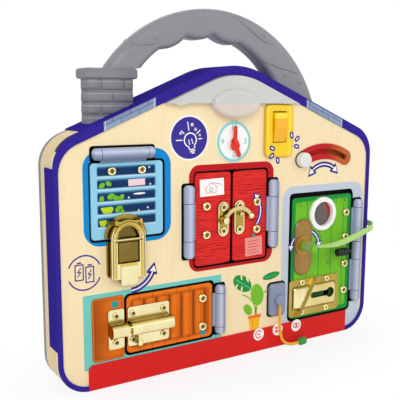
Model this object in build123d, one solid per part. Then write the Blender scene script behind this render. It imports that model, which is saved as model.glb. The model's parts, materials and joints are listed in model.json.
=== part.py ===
from build123d import *

import os
from math import asin, cos, degrees, pi, radians, sin, sqrt, tan

os.makedirs("parts", exist_ok=True)

# A house-shaped carry board with four little doors, each shut by another kind of latch.
# The board stands upright on its foot: X to the right, Z up, and Y from the front face to the back.
# The front face of the front panel lies at Y = 0 and the origin is finally the foot's middle.

# Board outline
board_width = 300.0
ridge_height = 244.2
roof_angle = radians(22.6)
eave_radius = 26.0
foot_radius = 24.0
ridge_radius = 66.0

# Board layers, from the front to the back
front_thickness = 6.0
picture_thickness = 3.0
core_thickness = 18.0
back_thickness = 6.0
picture_front = front_thickness
core_front = picture_front + picture_thickness
back_front = core_front + core_thickness
board_depth = back_front + back_thickness

# Clearances and the overrun of every cut
overrun = 1.0
seat_gap = 0.3
running_gap = 0.05
moving_gap = 0.4
door_gap = 1.0
screw_gap = 0.1

# Edge trim: a lip on the front face and a flange on each straight side
trim_thickness = 0.8
lip_thickness = 1.0
lip_side_width = 3.8
lip_roof_width = 7.1
lip_foot_width = 4.0
lip_foot_height = 0.3
side_flange_depth = 17.0
side_flange_low = 34.0
side_flange_high = 165.0
roof_flange_half = 128.0

# Red foot band
band_left = -127.0
band_right = 126.7
band_height = 19.6
band_corner = 4.0

# Handle: a smoke arch from the chimney to the right roof slope
handle_depth = 17.0
handle_middle = 18.0
arch_outer_radius = 111.5
arch_outer_x = -12.0
arch_outer_drop = 73.2
arch_outer_z = ridge_height - arch_outer_drop
arch_height = 35.5
arch_inner_radius = arch_outer_radius - arch_height
arch_inner_x = -17.7
arch_inner_drop = 57.9
arch_inner_z = ridge_height - arch_inner_drop
grip_count = 3
grip_radius = 30.0
grip_pitch = 24.6
grip_middle_x = -25.0
grip_root_radius = 1.5
arch_outer_fillet = 7.0
arch_inner_fillet = 4.5
arch_tongue_left_share = 0.8645
arch_tongue_right_share = 0.8072
arch_tongue_left = arch_inner_x + arch_inner_radius * arch_tongue_left_share
arch_tongue_right = arch_outer_x + arch_outer_radius * arch_tongue_right_share
tongue_depth = 12.0
tongue_reach = 18.0
tongue_edge = 3.0

# Chimney and its cap
chimney_width = 35.5
chimney_x = -100.6
chimney_drop = 17.2
chimney_top = ridge_height - chimney_drop
chimney_edge = 2.5
cap_width = 40.5
cap_depth = 21.0
cap_height = 7.5
cap_edge = 1.8
course_height = 8.6
brick_length = 17.75
mortar_width = 2.8
mortar_depth = 0.8
course_count = 4
course_brick_count = 2

# Door leaves
door_thickness = 5.0
door_corner = 3.0
door_edge_round = 0.6

# Hinges: fixed end knuckles on a base, moving knuckles on a leaf let into the back of the door
hinge_radius = 4.3
hinge_forward = 2.0
hinge_pin_radius = 1.3
hinge_offset = 6.4
knuckle_gap = 0.5
knuckle_end_round = 2.8
leaf_thickness = 2.2
leaf_reach = 20.0
leaf_margin = 3.0
base_thickness = 2.9
pin_inset = 1.0
hinge_pocket_gap = 0.9

# Brass door screws
screw_head_radius = 3.3
screw_head_height = 1.8
screw_slot_width = 0.7
screw_slot_depth = 0.6
screw_shank_radius = 1.2
screw_shank_length = door_thickness - seat_gap

# Blue shutter flap, hinged along its top edge
flap_width = 58.0
flap_height = 55.6
flap_x = -93.5
flap_top = 167.8
flap_slot_count = 5
flap_slot_width = 46.0
flap_slot_height = 6.4
flap_slot_pitch = 9.2
flap_slot_first = 161.6
flap_slot_depth = 1.0
flap_slot_round = 1.0
flap_slot_x = -94.2
flap_screw_xs = (-105.9, -82.0)
flap_knuckles = (6.0, 36.7, 6.0)
flap_hinge_x = -97.0

# Snap hasp on the flap and its strike plate on the board
hasp_x = -96.0
crescent_radius = 17.0
crescent_low = 112.9
crescent_thickness = 1.2
hasp_pivot_z = 124.4
hasp_pivot_forward = 4.6
hasp_pin_radius = 1.1
hasp_width = 27.5
hasp_low = 82.4
hasp_front = 6.2
hasp_back = 2.8
hasp_edge = 0.8
hasp_window_width = 17.4
hasp_window_low = 94.4
hasp_window_high = 110.6
hasp_dee_low = 112.4
hasp_dee_radius = 9.0
hasp_tab_width = 13.6
hasp_tab_low = 78.0
hasp_tab_corner = 2.0
hasp_tab_raise = 0.6
ear_width = 2.0
ear_inner = 8.8
ear_radius = 2.3
strike_width = 31.0
strike_low = 83.6
strike_high = 111.2
strike_thickness = 1.2
strike_corner = 3.0
staple_gap = 0.6
staple_front = 5.4
staple_edge = 0.8

# Red double doors
red_middle_x = -1.7
red_axis_half = 41.0
red_split = 2.4
red_low = 81.9
red_high = 156.0
red_knuckles = (14.0, 29.4, 14.0)
red_hinge_z = 118.6
red_screw_inset = 10.2
red_screw_low = 106.8
red_screw_high = 129.6

# Swing hook and its catch
hook_plate_width = 9.8
hook_plate_height = 28.0
hook_plate_thickness = 1.2
hook_plate_z = 118.2
hook_plate_left_x = -10.6
hook_plate_right_x = 5.0
boss_radius = 3.1
boss_height = 0.9
hook_post_radius = 1.6
hook_rivet_radius = 2.6
hook_rivet_height = 0.9
hook_pivot_z = 117.5
hook_back = 2.6
hook_thickness = 2.2
hook_eye_radius = 3.4
hook_arm_width = 3.0
hook_top_x = 0.5
hook_top_z = 126.4
hook_boss_rise = 9.6
hook_end_x = 14.6
hook_end_z = 119.2
hook_ball_radius = 2.9
catch_post_z = 121.4
catch_post_radius = 1.5
catch_post_front = 4.6

# Orange gate, hinged at its right side
orange_left = -96.2
orange_right = -19.8
orange_low = 22.6
orange_high = 67.7
orange_knuckles = (6.2, 28.2, 6.2)
orange_hinge_z = 44.4
orange_screw_inset = 9.8
orange_screw_low = 32.4
orange_screw_high = 55.8
orange_groove_count = 6
orange_groove_width = 1.0
orange_groove_depth = 0.5

# Barrel bolt
bolt_z = 43.8
bolt_height = 30.4
bolt_thickness = 1.2
bolt_left = -95.4
bolt_right = -60.4
bolt_corner = 2.0
bolt_barrel_radius = 5.6
bolt_axis_forward = 5.0
bolt_rod_radius = 3.4
bolt_bore_gap = 0.3
keeper_bore_gap = 0.8
bolt_rod_left = -98.1
bolt_rod_right = -71.0
bolt_knob_x = -87.4
bolt_knob_radius = 1.8
bolt_knob_reach = 12.6
bolt_knob_ball = 2.6
bolt_lock_travel = 6.0
bolt_free_travel = 10.0
keeper_left = -111.2
keeper_right = -98.5
bolt_screw_radius = 2.7
bolt_screw_height = 0.9
bolt_screw_rise = 10.2
bolt_screw_xs = (-91.2, -65.2)
keeper_screw_x = -105.0

# Green door, hinged at its right side
green_left = 60.2
green_right = 130.0
green_low = 21.2
green_high = 129.8
green_recess_left = 2.3
green_recess_top = 3.6
green_knuckles = (9.9, 29.5, 16.8, 31.5, 7.2)
green_hinge_z = 75.8
green_screw_inset = 7.0
green_screw_heights = (40.0, 64.8, 89.7, 112.2)

# Porthole
porthole_x = 94.9
porthole_z = 113.3
porthole_radius = 14.9
porthole_lens_radius = 10.8
porthole_forward = 2.4
porthole_lens_thickness = 1.6
porthole_lens_front = 1.2
porthole_lens_lap = 0.6
porthole_collar_radius = 13.2

# Lock and key
lock_x = 72.2
lock_z = 87.2
lock_plate_x = 73.4
lock_plate_z = 85.5
lock_plate_width = 19.0
lock_plate_height = 50.0
lock_plate_thickness = 1.4
lock_boss_radius = 8.4
lock_boss_height = 1.6
lock_ring_radius = 6.2
lock_ring_height = 0.8
key_bow_radius = 4.3
key_bow_length = 4.4
key_ferrule_radius = 3.9
key_ferrule_length = 4.8
key_neck_radius = 2.0
key_neck_length = 3.4
key_end_radius = 3.0
key_end_length = 1.2
key_stem_radius = 1.8
key_stem_length = 3.0
key_groove_depth = 0.5
key_groove_width = 1.1

# Door chain: slotted plate, anchor on the board and a cord with a bead
slide_x = 87.4
slide_z = 40.2
slide_width = 57.0
slide_height = 33.0
slide_thickness = 1.0
slide_corner = 2.5
slide_rim_width = 48.0
slide_rim_height = 19.0
slide_rim_forward = 3.0
slide_slot_left = 82.0
slide_slot_right = 104.6
slide_slot_z = 41.0
slide_slot_radius = 2.6
slide_key_radius = 4.6
slide_eye_radius = 2.7
slide_eye_height = 0.9
slide_eye_bore_radius = 1.2
slide_brace_width = 4.2
slide_brace_top_x = 85.0
slide_brace_low_x = 65.8
slide_brace_raise = 0.5
anchor_x = 45.2
anchor_z = 43.2
anchor_width = 16.6
anchor_height = 27.6
anchor_thickness = 4.0
anchor_corner = 3.0
anchor_button_radius = 4.4
anchor_button_height = 3.6

# Cords
chain_diameter = 2.4
chain_points = [(45.2, -5.8, 41.0), (45.2, -5.8, 28.0), (45.8, -5.9, 15.6), (48.2, -6.2, 6.8),
                (54.6, -6.6, 2.4), (62.0, -7.4, 2.0), (69.0, -8.0, 3.2)]
bead_radius = 3.2
bead_length = 7.0
strap_diameter = 3.0
strap_points = [(75.3, -15.0, 88.6), (88.0, -16.4, 87.8), (101.0, -16.2, 88.4), (114.4, -14.8, 90.6),
                (127.2, -13.2, 93.2), (139.0, -11.8, 95.8), (149.2, -9.4, 98.0), (154.8, -1.8, 99.2),
                (155.0, 11.8, 99.6)]
strap_eye_radius = 4.2
strap_eye_width = 3.0
strap_eye_bore_gap = 0.3
peg_y = 15.2
peg_z = 99.6
peg_radius = 2.2
peg_length = 7.8
peg_head_radius = 3.6
peg_head_length = 1.4
toggle_radius = 3.6
toggle_length = 12.0
toggle_x = 113.5
toggle_z = 77.8
toggle_forward = 7.4
toggle_stem_radius = 1.0
toggle_stem_reach = 3.2
toggle_groove_depth = 0.4
toggle_groove_width = 1.2
toggle_groove_count = 3

# Roof lamp
lamp_drop = 34.8
lamp_low = ridge_height - lamp_drop
lamp_tip_half = 61.0
lamp_forward = 4.2
lamp_edge = 1.2
lamp_lobe_x = 50.5
lamp_lobe_radius = 9.0
lamp_lobe_drop = 1.8
lamp_lobe_low = lamp_low - lamp_lobe_drop
lamp_margin = 0.6
lamp_wall = 1.4
dome_x = -1.4
dome_half_width = 21.7
dome_half_height = 11.2
dome_forward = 8.0
dome_edge = 3.2
led_board_width = 30.0
led_board_height = 12.0
led_board_thickness = 1.6
led_radius = 2.5
led_height = 2.0
led_count = 3
led_pitch = 9.0

# Clock
clock_x = -1.0
clock_drop = 64.5
clock_z = ridge_height - clock_drop
clock_radius = 16.5
clock_thickness = 1.2
clock_pin_radius = 1.2
clock_pin_head = 1.9
clock_pin_head_height = 0.8
hand_thickness = 0.9
hand_gap = 0.25
hand_hub_radius = 2.6
hand_tail = 4.2
hand_tail_radius = 3.4
minute_reach = 12.6
minute_tip_radius = 1.9
hour_reach = 13.6
hour_tip_radius = 2.2
hour_angle = 162.0

# Light switch
switch_x = 43.6
switch_drop = 35.3
switch_height = 43.5
switch_top = ridge_height - switch_drop
switch_low = switch_top - switch_height
switch_width = 29.4
switch_thickness = 2.4
switch_corner = 5.0
rocker_width = 12.4
rocker_height = 24.0
rocker_drop = 18.5
rocker_z = switch_top - rocker_drop
rocker_forward = 5.0
rocker_end_forward = 3.4
rocker_back = 3.4
rocker_gap = 0.9
rocker_tilt = 6.0
trunnion_radius = 1.0
trunnion_length = 2.5

# Arc slider
slider_x = 94.6
slider_top = 168.4
slider_arc_radius = 52.0
slider_half_angle = 28.6
slider_track_width = 13.6
slider_track_thickness = 0.8
slider_slot_width = 5.0
slider_pocket_width = 10.0
slider_pocket_front = 2.8
knob_radius = 6.3
knob_height = 5.4
knob_edge = 1.0
knob_stem_radius = 2.1
knob_foot_radius = 4.2
knob_foot_thickness = 1.4

# Battery box, let in from the back
battery_x = -40.0
battery_z = 104.0
battery_width = 60.0
battery_height = 34.0
battery_depth = 16.0
battery_wall = 1.6
battery_flange = 4.0
battery_flange_thickness = 1.6
battery_corner = 2.0
battery_cover_thickness = 2.0
battery_cover_margin = 1.2
battery_bay_count = 2

# Screws that hold the case together, from the back
case_screw_radius = 3.2
case_screw_height = 1.4
case_screw_shank = 1.5
case_screw_length = 16.0
case_screw_inset = 14.0


# Shares and the view's list
cord_bend_share = 0.45
screw_head_chamfer_share = 0.45
grip_span_share = 0.6
pieces = {}


# Helpers


def plate(outline, front, back):
    """A plate whose outline lies in the board's plane, from the depth front to the depth back."""
    return extrude(Plane.XZ.offset(-back) * outline, amount=back - front)


def at(x, z):
    """A place in the board's plane."""
    return Pos(x, z)


def rounded(width, height, radius):
    """A rectangle with round corners, round its middle."""
    return RectangleRounded(width, height, radius)


def span(left, right, low, high, radius):
    """A rectangle with round corners between four edges."""
    return at((left + right) / 2, (low + high) / 2) * rounded(right - left, high - low, radius)


def rod(x, z, radius, front, back):
    """A round rod square to the board, from the depth front to the depth back."""
    return plate(at(x, z) * Circle(radius), front, back)


def house(side, roof, foot):
    """The house outline, moved in by side at the walls and by roof at the slopes, standing at foot."""
    half = board_width / 2 - side
    ridge = ridge_height - roof / cos(roof_angle)
    eave = ridge - half * tan(roof_angle)
    corners = [(-half, foot), (half, foot), (half, eave), (0, ridge), (-half, eave)]
    outline = make_face(Polyline(*corners, close=True))
    for corner, radius in ((corners[0], foot_radius - side), (corners[1], foot_radius - side),
                           (corners[2], eave_radius - side), (corners[4], eave_radius - side),
                           (corners[3], ridge_radius - roof)):
        nearest = outline.vertices().sort_by_distance((corner[0], corner[1], 0))[0]
        outline = fillet(nearest, radius)
    return outline


def roof_line(x):
    """The height of the trim's outside above the place x, away from the rounded ridge."""
    return ridge_height - abs(x) * tan(roof_angle)


def save(node, solid, colour):
    """Write one piece of the board to its own file and keep it for the view."""
    solid = Pos(0, -board_depth / 2, 0) * solid
    solid.label = node
    solid.color = Color(colour)
    export_step(solid, os.path.join("parts", node + ".step"))
    pieces[node] = solid


def group(solids):
    """Several loose solids that share one node."""
    return Compound(children=[item.solid() for item in solids])


def screw(x, z, seat, head_radius, head_height, shank_radius, shank_length, facing):
    """A slotted screw at one place, its head on the depth seat, facing the front (1) or back (-1)."""
    head = Cylinder(head_radius, head_height, align=(Align.CENTER, Align.CENTER, Align.MIN))
    head = chamfer(head.edges().sort_by(Axis.Z)[-1], head_height * screw_head_chamfer_share)
    slot = Pos(0, 0, head_height) * Box(2 * head_radius, screw_slot_width, 2 * screw_slot_depth)
    shank = Cylinder(shank_radius, shank_length, align=(Align.CENTER, Align.CENTER, Align.MAX))
    whole = head - slot + shank
    return Pos(x, seat, z) * Rot(90 * facing, 0, 0) * whole


def tube(points, diameter):
    """A cord along straight runs joined by tangent arcs, each as large as its runs allow."""
    route = [Vector(*point) for point in points]
    radii = []
    for before, corner, after in zip(route, route[1:], route[2:]):
        turn = radians((corner - before).get_angle(after - corner))
        shorter = min((corner - before).length, (after - corner).length)
        radii.append(cord_bend_share * shorter / tan(turn / 2))
    line = FilletPolyline(*route, radius=radii)
    print("cord arcs", [round(radius, 1) for radius in radii], "length", round(line.length, 1))
    start = Plane(origin=line @ 0, z_dir=line % 0)
    solid = sweep(start * Circle(diameter / 2), path=line)
    print("cord volume over section times length", round(solid.volume / (pi * diameter ** 2 / 4 * line.length), 4))
    return solid


# Hinges


def hinge(knuckles):
    """A hinge about the Z axis whose door lies towards +X: its base, its leaf and its pin.

    The knuckles are listed from the bottom, the first, third and fifth of them fixed to the base.
    """
    length = sum(knuckles)
    bottom = -length / 2
    base = None
    leaf = None
    moving = []
    for index, height in enumerate(knuckles):
        fixed = index % 2 == 0
        low = bottom + (0 if index == 0 else knuckle_gap / 2)
        high = bottom + height - (0 if index == len(knuckles) - 1 else knuckle_gap / 2)
        middle = (low + high) / 2
        barrel = Pos(0, -hinge_forward, middle) * Cylinder(hinge_radius, high - low)
        if index == 0:
            barrel = fillet(barrel.edges().sort_by(Axis.Z)[0], knuckle_end_round)
            low = low + knuckle_end_round
        if index == len(knuckles) - 1:
            barrel = fillet(barrel.edges().sort_by(Axis.Z)[-1], knuckle_end_round)
            high = high - knuckle_end_round
        if fixed:
            foot_depth = picture_front + hinge_forward
            foot = Pos(0, picture_front - foot_depth / 2, (low + high) / 2)
            foot = foot * Box(2 * hinge_radius - knuckle_gap, foot_depth, high - low)
            base = barrel + foot if base is None else base + barrel + foot
        else:
            neck_depth = door_thickness + hinge_forward / 2
            neck = Pos(hinge_offset / 2, door_thickness - neck_depth / 2, middle)
            neck = neck * Box(hinge_offset, neck_depth, high - low)
            leaf = barrel + neck if leaf is None else leaf + barrel + neck
            moving += [low, high]
        bottom += height
    strip_width = hinge_radius - 2 * knuckle_gap
    strip = Pos(-knuckle_gap - strip_width / 2, picture_front - base_thickness / 2, 0)
    base += strip * Box(strip_width, base_thickness, length - 2 * knuckle_end_round)
    flat_low = min(moving)
    flat_high = max(moving)
    flat = Pos(hinge_offset + leaf_reach / 2, door_thickness - leaf_thickness / 2, (flat_low + flat_high) / 2)
    leaf += flat * Box(leaf_reach, leaf_thickness, flat_high - flat_low)
    bore = Pos(0, -hinge_forward, 0) * Cylinder(hinge_pin_radius + running_gap, length - 2 * pin_inset)
    pin = Pos(0, -hinge_forward, 0) * Cylinder(hinge_pin_radius, length - 2 * pin_inset - seat_gap)
    rebate = Pos(hinge_offset + leaf_reach / 2, door_thickness, (flat_low + flat_high) / 2)
    rebate = rebate * Box(leaf_reach + 2 * screw_gap, 2 * leaf_thickness, flat_high - flat_low + 2 * screw_gap)
    return base - bore, leaf - bore, pin, rebate


def hinge_place(x, z, turn):
    """Where a hinge stands, turned about the Y axis so that its door lies to its own side."""
    return Pos(x, 0, z) * Rot(0, turn, 0)


def hinge_pocket(x, z, turn, knuckles):
    """The outline that the front panel leaves open for a hinge, up to its door."""
    width = hinge_radius + hinge_pocket_gap + hinge_offset + door_gap
    middle = (hinge_offset + door_gap - hinge_radius - hinge_pocket_gap) / 2
    pocket = Rectangle(width, sum(knuckles) + 2 * hinge_pocket_gap)
    return at(x, z) * Rot(0, 0, -turn) * at(middle, 0) * pocket


def door(left, right, low, high):
    """A door leaf with round corners and softened front edges."""
    leaf = plate(span(left, right, low, high, door_corner), 0, door_thickness)
    front = leaf.faces().sort_by(Axis.Y)[0]
    return fillet(front.edges(), door_edge_round)


def screws(places):
    """Brass door screws at these places on the front of a door."""
    return [screw(x, z, 0, screw_head_radius, screw_head_height, screw_shank_radius, screw_shank_length, 1)
            for x, z in places]


def screw_holes(solid, places):
    """A door or leaf with the holes of its screws."""
    for x, z in places:
        solid -= rod(x, z, screw_shank_radius + screw_gap, -overrun, front_thickness)
    return solid


flap_low = flap_top - flap_height
flap_left = flap_x - flap_width / 2
flap_right = flap_x + flap_width / 2
flap_axis_z = flap_top + hinge_offset
red_left_axis = red_middle_x - red_axis_half
red_right_axis = red_middle_x + red_axis_half
orange_axis = orange_right + hinge_offset
green_axis = green_right + hinge_offset

flap_place = hinge_place(flap_hinge_x, flap_axis_z, 90)
red_left_place = hinge_place(red_left_axis, red_hinge_z, 0)
red_right_place = hinge_place(red_right_axis, red_hinge_z, 180)
orange_place = hinge_place(orange_axis, orange_hinge_z, 180)
green_place = hinge_place(green_axis, green_hinge_z, 180)


# Case: front panel, picture board, core, back panel

wood = house(trim_thickness, trim_thickness, 0)
openings = [
    span(flap_left - door_gap, flap_right + door_gap, flap_low - door_gap, flap_top + door_gap, door_corner),
    hinge_pocket(flap_hinge_x, flap_axis_z, 90, flap_knuckles),
    span(red_left_axis + hinge_offset - door_gap, red_right_axis - hinge_offset + door_gap,
         red_low - door_gap, red_high + door_gap, door_corner),
    hinge_pocket(red_left_axis, red_hinge_z, 0, red_knuckles),
    hinge_pocket(red_right_axis, red_hinge_z, 180, red_knuckles),
    span(orange_left - door_gap, orange_right + door_gap, orange_low - door_gap, orange_high + door_gap,
         door_corner),
    hinge_pocket(orange_axis, orange_hinge_z, 180, orange_knuckles),
    span(green_left - green_recess_left, green_right + door_gap, green_low - door_gap,
         green_high + green_recess_top, door_corner + door_gap),
    hinge_pocket(green_axis, green_hinge_z, 180, green_knuckles),
]

front_panel = plate(wood, 0, front_thickness)
for opening in openings:
    front_panel -= plate(opening, -overrun, front_thickness + overrun)

led_window = span(dome_x - led_board_width / 2 - door_gap, dome_x + led_board_width / 2 + door_gap,
                  lamp_low - led_board_height / 2, lamp_low + led_board_height / 2 + 2 * door_gap, door_gap)
front_panel -= plate(led_window, -overrun, front_thickness + overrun)

rocker_well = at(switch_x, rocker_z) * Rectangle(rocker_width + 2 * rocker_gap, rocker_height + 2 * rocker_gap)
front_panel -= plate(rocker_well, -overrun, front_thickness + overrun)
trunnion_groove = Pos(switch_x, 0, rocker_z) * Rot(0, 90, 0)
trunnion_groove = trunnion_groove * Cylinder(trunnion_radius + running_gap,
                                             rocker_width + 2 * rocker_gap + 2 * trunnion_length + 2 * seat_gap)
front_panel -= trunnion_groove

slider_centre_z = slider_top - slider_arc_radius
arc_low = 90 - slider_half_angle
arc_high = 90 + slider_half_angle


def arc_band(width):
    """A band of this width along the slider's arc, with round ends."""
    line = CenterArc((slider_x, slider_centre_z), slider_arc_radius, arc_low, arc_high - arc_low)
    band = Circle(slider_arc_radius + width / 2) - Circle(slider_arc_radius - width / 2)
    reach = 2 * slider_arc_radius
    edge_x = reach * sin(radians(slider_half_angle))
    edge_z = reach * cos(radians(slider_half_angle))
    wedge = make_face(Polyline((0, 0), (edge_x, edge_z), (-edge_x, edge_z), close=True))
    band = at(slider_x, slider_centre_z) * (band & wedge)
    for end in (line @ 0, line @ 1):
        band += at(end.X, end.Y) * Circle(width / 2)
    return band


front_panel -= plate(arc_band(slider_slot_width), -overrun, front_thickness + overrun)
front_panel -= plate(arc_band(slider_pocket_width), slider_pocket_front, front_thickness + overrun)
save("front_panel", front_panel, "Wheat")

picture_board = plate(wood, picture_front, core_front)
save("picture_board", picture_board, "PapayaWhip")

core = plate(wood, core_front, back_front)
back_panel = plate(wood, back_front, board_depth)
back_panel = chamfer(back_panel.faces().sort_by(Axis.Y)[-1].edges(), trim_thickness)

box_outline = at(battery_x, battery_z) * rounded(battery_width, battery_height, battery_corner)
box_hole = at(battery_x, battery_z) * rounded(battery_width + 2 * seat_gap, battery_height + 2 * seat_gap,
                                              battery_corner)
flange_width = battery_width + 2 * battery_flange
flange_height = battery_height + 2 * battery_flange
flange_outline = at(battery_x, battery_z) * rounded(flange_width, flange_height, battery_corner + battery_flange)
flange_hole = at(battery_x, battery_z) * rounded(flange_width + 2 * seat_gap, flange_height + 2 * seat_gap,
                                                 battery_corner + battery_flange)
box_front = board_depth - battery_depth
core -= plate(box_hole, box_front - seat_gap, board_depth)
back_panel -= plate(box_hole, back_front - overrun, board_depth + overrun)
back_panel -= plate(flange_hole, board_depth - battery_flange_thickness, board_depth + overrun)

battery_box = plate(box_outline, box_front, board_depth - battery_flange_thickness)
battery_box += plate(flange_outline, board_depth - battery_flange_thickness, board_depth)
inner_width = battery_width - 2 * battery_wall
bay_height = (battery_height - (battery_bay_count + 1) * battery_wall) / battery_bay_count
for bay in range(battery_bay_count):
    bay_z = battery_z + (bay - (battery_bay_count - 1) / 2) * (bay_height + battery_wall)
    bay_outline = at(battery_x, bay_z) * rounded(inner_width, bay_height, battery_corner / 2)
    battery_box -= plate(bay_outline, box_front + battery_wall, board_depth + overrun)
cover_width = battery_width + 2 * battery_cover_margin
cover_height = battery_height + 2 * battery_cover_margin
cover_seat = at(battery_x, battery_z) * rounded(cover_width, cover_height, battery_corner)
cover_outline = at(battery_x, battery_z) * rounded(cover_width - 2 * seat_gap, cover_height - 2 * seat_gap,
                                                   battery_corner)
battery_box -= plate(cover_seat, board_depth - battery_flange_thickness / 2, board_depth + overrun)
save("battery_box", battery_box, "DimGray")

battery_cover = plate(cover_outline, board_depth - battery_flange_thickness / 2,
                      board_depth + battery_cover_thickness / 2)
battery_cover = chamfer(battery_cover.faces().sort_by(Axis.Y)[-1].edges(), battery_cover_thickness / 4)
save("battery_cover", battery_cover, "Gray")


# Handle and chimney

tongue_front = handle_middle - tongue_depth / 2
tongue_back = handle_middle + tongue_depth / 2
handle_front = handle_middle - handle_depth / 2
handle_back = handle_middle + handle_depth / 2
chimney_left = chimney_x - chimney_width / 2
chimney_right = chimney_x + chimney_width / 2
cap_top = chimney_top + cap_height


def above_roof(left, right, top, lift):
    """The outline between the roof slope, raised by lift, and the height top."""
    return make_face(Polyline((left, roof_line(left) + lift), (right, roof_line(right) + lift),
                              (right, top), (left, top), close=True))


def tongue(left, right, gap):
    """The outline of a tongue that reaches down through the roof into the core."""
    low = min(roof_line(left), roof_line(right)) - tongue_reach - gap
    high = max(roof_line(left), roof_line(right))
    return make_face(Polyline((left - gap, low), (right + gap, low), (right + gap, high),
                              (left - gap, high), close=True))


arch_disc = at(arch_outer_x, arch_outer_z) * Circle(arch_outer_radius)
arch_void = at(arch_inner_x, arch_inner_z) * Circle(arch_inner_radius)
grip_half_angle = asin(grip_pitch / 2 / arch_inner_radius)
grip_chord_radius = arch_inner_radius * cos(grip_half_angle)
grip_centre_radius = grip_chord_radius + sqrt(grip_radius ** 2 - (grip_pitch / 2) ** 2)
grip_middle_angle = asin((grip_middle_x - arch_inner_x) / arch_inner_radius)
for grip in range(grip_count):
    angle = grip_middle_angle + 2 * grip_half_angle * (grip - (grip_count - 1) / 2)
    grip_x = arch_inner_x + grip_centre_radius * sin(angle)
    grip_z = arch_inner_z + grip_centre_radius * cos(angle)
    arch_void -= at(grip_x, grip_z) * Circle(grip_radius)
arch_limits = make_face(Polyline(
    (-board_width / 2, cap_top), (chimney_right, cap_top), (0, ridge_height), (board_width / 2, roof_line(board_width / 2)),
    (board_width / 2, 2 * ridge_height), (-board_width / 2, 2 * ridge_height), close=True))
arch_outline = (arch_disc - arch_void) & arch_limits
roots = [vertex for vertex in arch_outline.vertices()
         if abs(vertex.X - grip_middle_x) < grip_span_share * grip_count * grip_pitch
         and vertex.Y < arch_inner_z + arch_inner_radius + seat_gap]
arch_outline = fillet(roots, grip_root_radius)
handle_arch = plate(arch_outline, handle_front, handle_back)


def on_arch(edge, centre_x, centre_z, radius):
    """Whether an edge runs along the handle's front or back face, round this centre."""
    middle = edge @ (1 / 2)
    along = abs((edge @ 0).Y - (edge @ 1).Y) < seat_gap
    reach = sqrt((middle.X - centre_x) ** 2 + (middle.Z - centre_z) ** 2)
    return along and abs(reach - radius) < grip_pitch / 4


outer_edges = [edge for edge in handle_arch.edges()
               if edge.geom_type == GeomType.CIRCLE
               and on_arch(edge, arch_outer_x, arch_outer_z, arch_outer_radius)]
handle_arch = fillet(outer_edges, arch_outer_fillet)
inner_edges = [edge for edge in handle_arch.edges()
               if edge.geom_type == GeomType.CIRCLE
               and on_arch(edge, arch_inner_x, arch_inner_z, arch_inner_radius)]
handle_arch = fillet(inner_edges, arch_inner_fillet)
handle_arch += plate(tongue(arch_tongue_left, arch_tongue_right, 0), tongue_front, tongue_back)

chimney = plate(above_roof(chimney_left, chimney_right, chimney_top, 0), handle_front, handle_back)
upright = [edge for edge in chimney.edges().filter_by(Axis.Z)]
chimney = fillet(upright, chimney_edge)
for course in range(course_count):
    joint_z = chimney_top - (course + 1) * course_height
    ring = Pos(chimney_x, handle_middle, joint_z) * Box(chimney_width + overrun, handle_depth + overrun, mortar_width)
    kept = Box(chimney_width - 2 * mortar_depth, handle_depth - 2 * mortar_depth, 2 * mortar_width)
    chimney -= ring - Pos(chimney_x, handle_middle, joint_z) * kept
    for brick in range(course_brick_count):
        shift = brick_length * (brick - (course_brick_count - 1) / 2 + (course % 2) / 2)
        for face_y in (handle_front, handle_back):
            groove = Box(mortar_width, 2 * mortar_depth, course_height)
            chimney -= Pos(chimney_x + shift, face_y, joint_z + course_height / 2) * groove
cap = plate(at(chimney_x, chimney_top + cap_height / 2) * Rectangle(cap_width, cap_height),
            handle_middle - cap_depth / 2, handle_middle + cap_depth / 2)
chimney += fillet(cap.edges(), cap_edge)
chimney_tongue_left = chimney_x - chimney_width / 4
chimney_tongue_right = chimney_x + chimney_width / 4
chimney += plate(tongue(chimney_tongue_left, chimney_tongue_right, 0), tongue_front, tongue_back)


# Core with its sockets, and the screws from the back

for left, right in ((arch_tongue_left, arch_tongue_right), (chimney_tongue_left, chimney_tongue_right)):
    core -= plate(tongue(left, right, seat_gap), tongue_front - seat_gap, tongue_back + seat_gap)

case_places = [
    (-board_width / 2 + case_screw_inset, foot_radius),
    (board_width / 2 - case_screw_inset, foot_radius),
    (-board_width / 2 + case_screw_inset, side_flange_high),
    (board_width / 2 - case_screw_inset, side_flange_high),
    (0, case_screw_inset),
]
tongue_places = [
    ((arch_tongue_left + arch_tongue_right) / 2, roof_line(arch_tongue_right) - tongue_reach / 2),
    (chimney_x, roof_line(chimney_tongue_left) - tongue_reach / 2),
]
case_screws = []
for x, z in case_places + tongue_places:
    hole = rod(x, z, case_screw_shank + screw_gap, board_depth - case_screw_length - screw_gap, board_depth + overrun)
    core -= hole
    back_panel -= hole
    case_screws.append(screw(x, z, board_depth, case_screw_radius, case_screw_height, case_screw_shank,
                             case_screw_length, -1))
for x, z in tongue_places:
    hole = rod(x, z, case_screw_shank + screw_gap, board_depth - case_screw_length - screw_gap, board_depth)
    handle_arch -= hole
    chimney -= hole
save("handle_arch", handle_arch, "Gray")
save("chimney", chimney, "Gray")
save("core_board", core, "BurlyWood")
save("back_panel", back_panel, "DarkGray")
peg_start = board_width / 2 - trim_thickness
peg = Pos(peg_start + peg_length / 2, peg_y, peg_z) * Rot(0, 90, 0) * Cylinder(peg_radius, peg_length)
peg_head = Pos(peg_start + peg_length + peg_head_length / 2, peg_y, peg_z) * Rot(0, 90, 0)
peg += chamfer((peg_head * Cylinder(peg_head_radius, peg_head_length)).edges(), peg_head_length / 4)
save("case_screws", group(case_screws + [peg]), "Silver")


# Edge trim and the foot band

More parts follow.
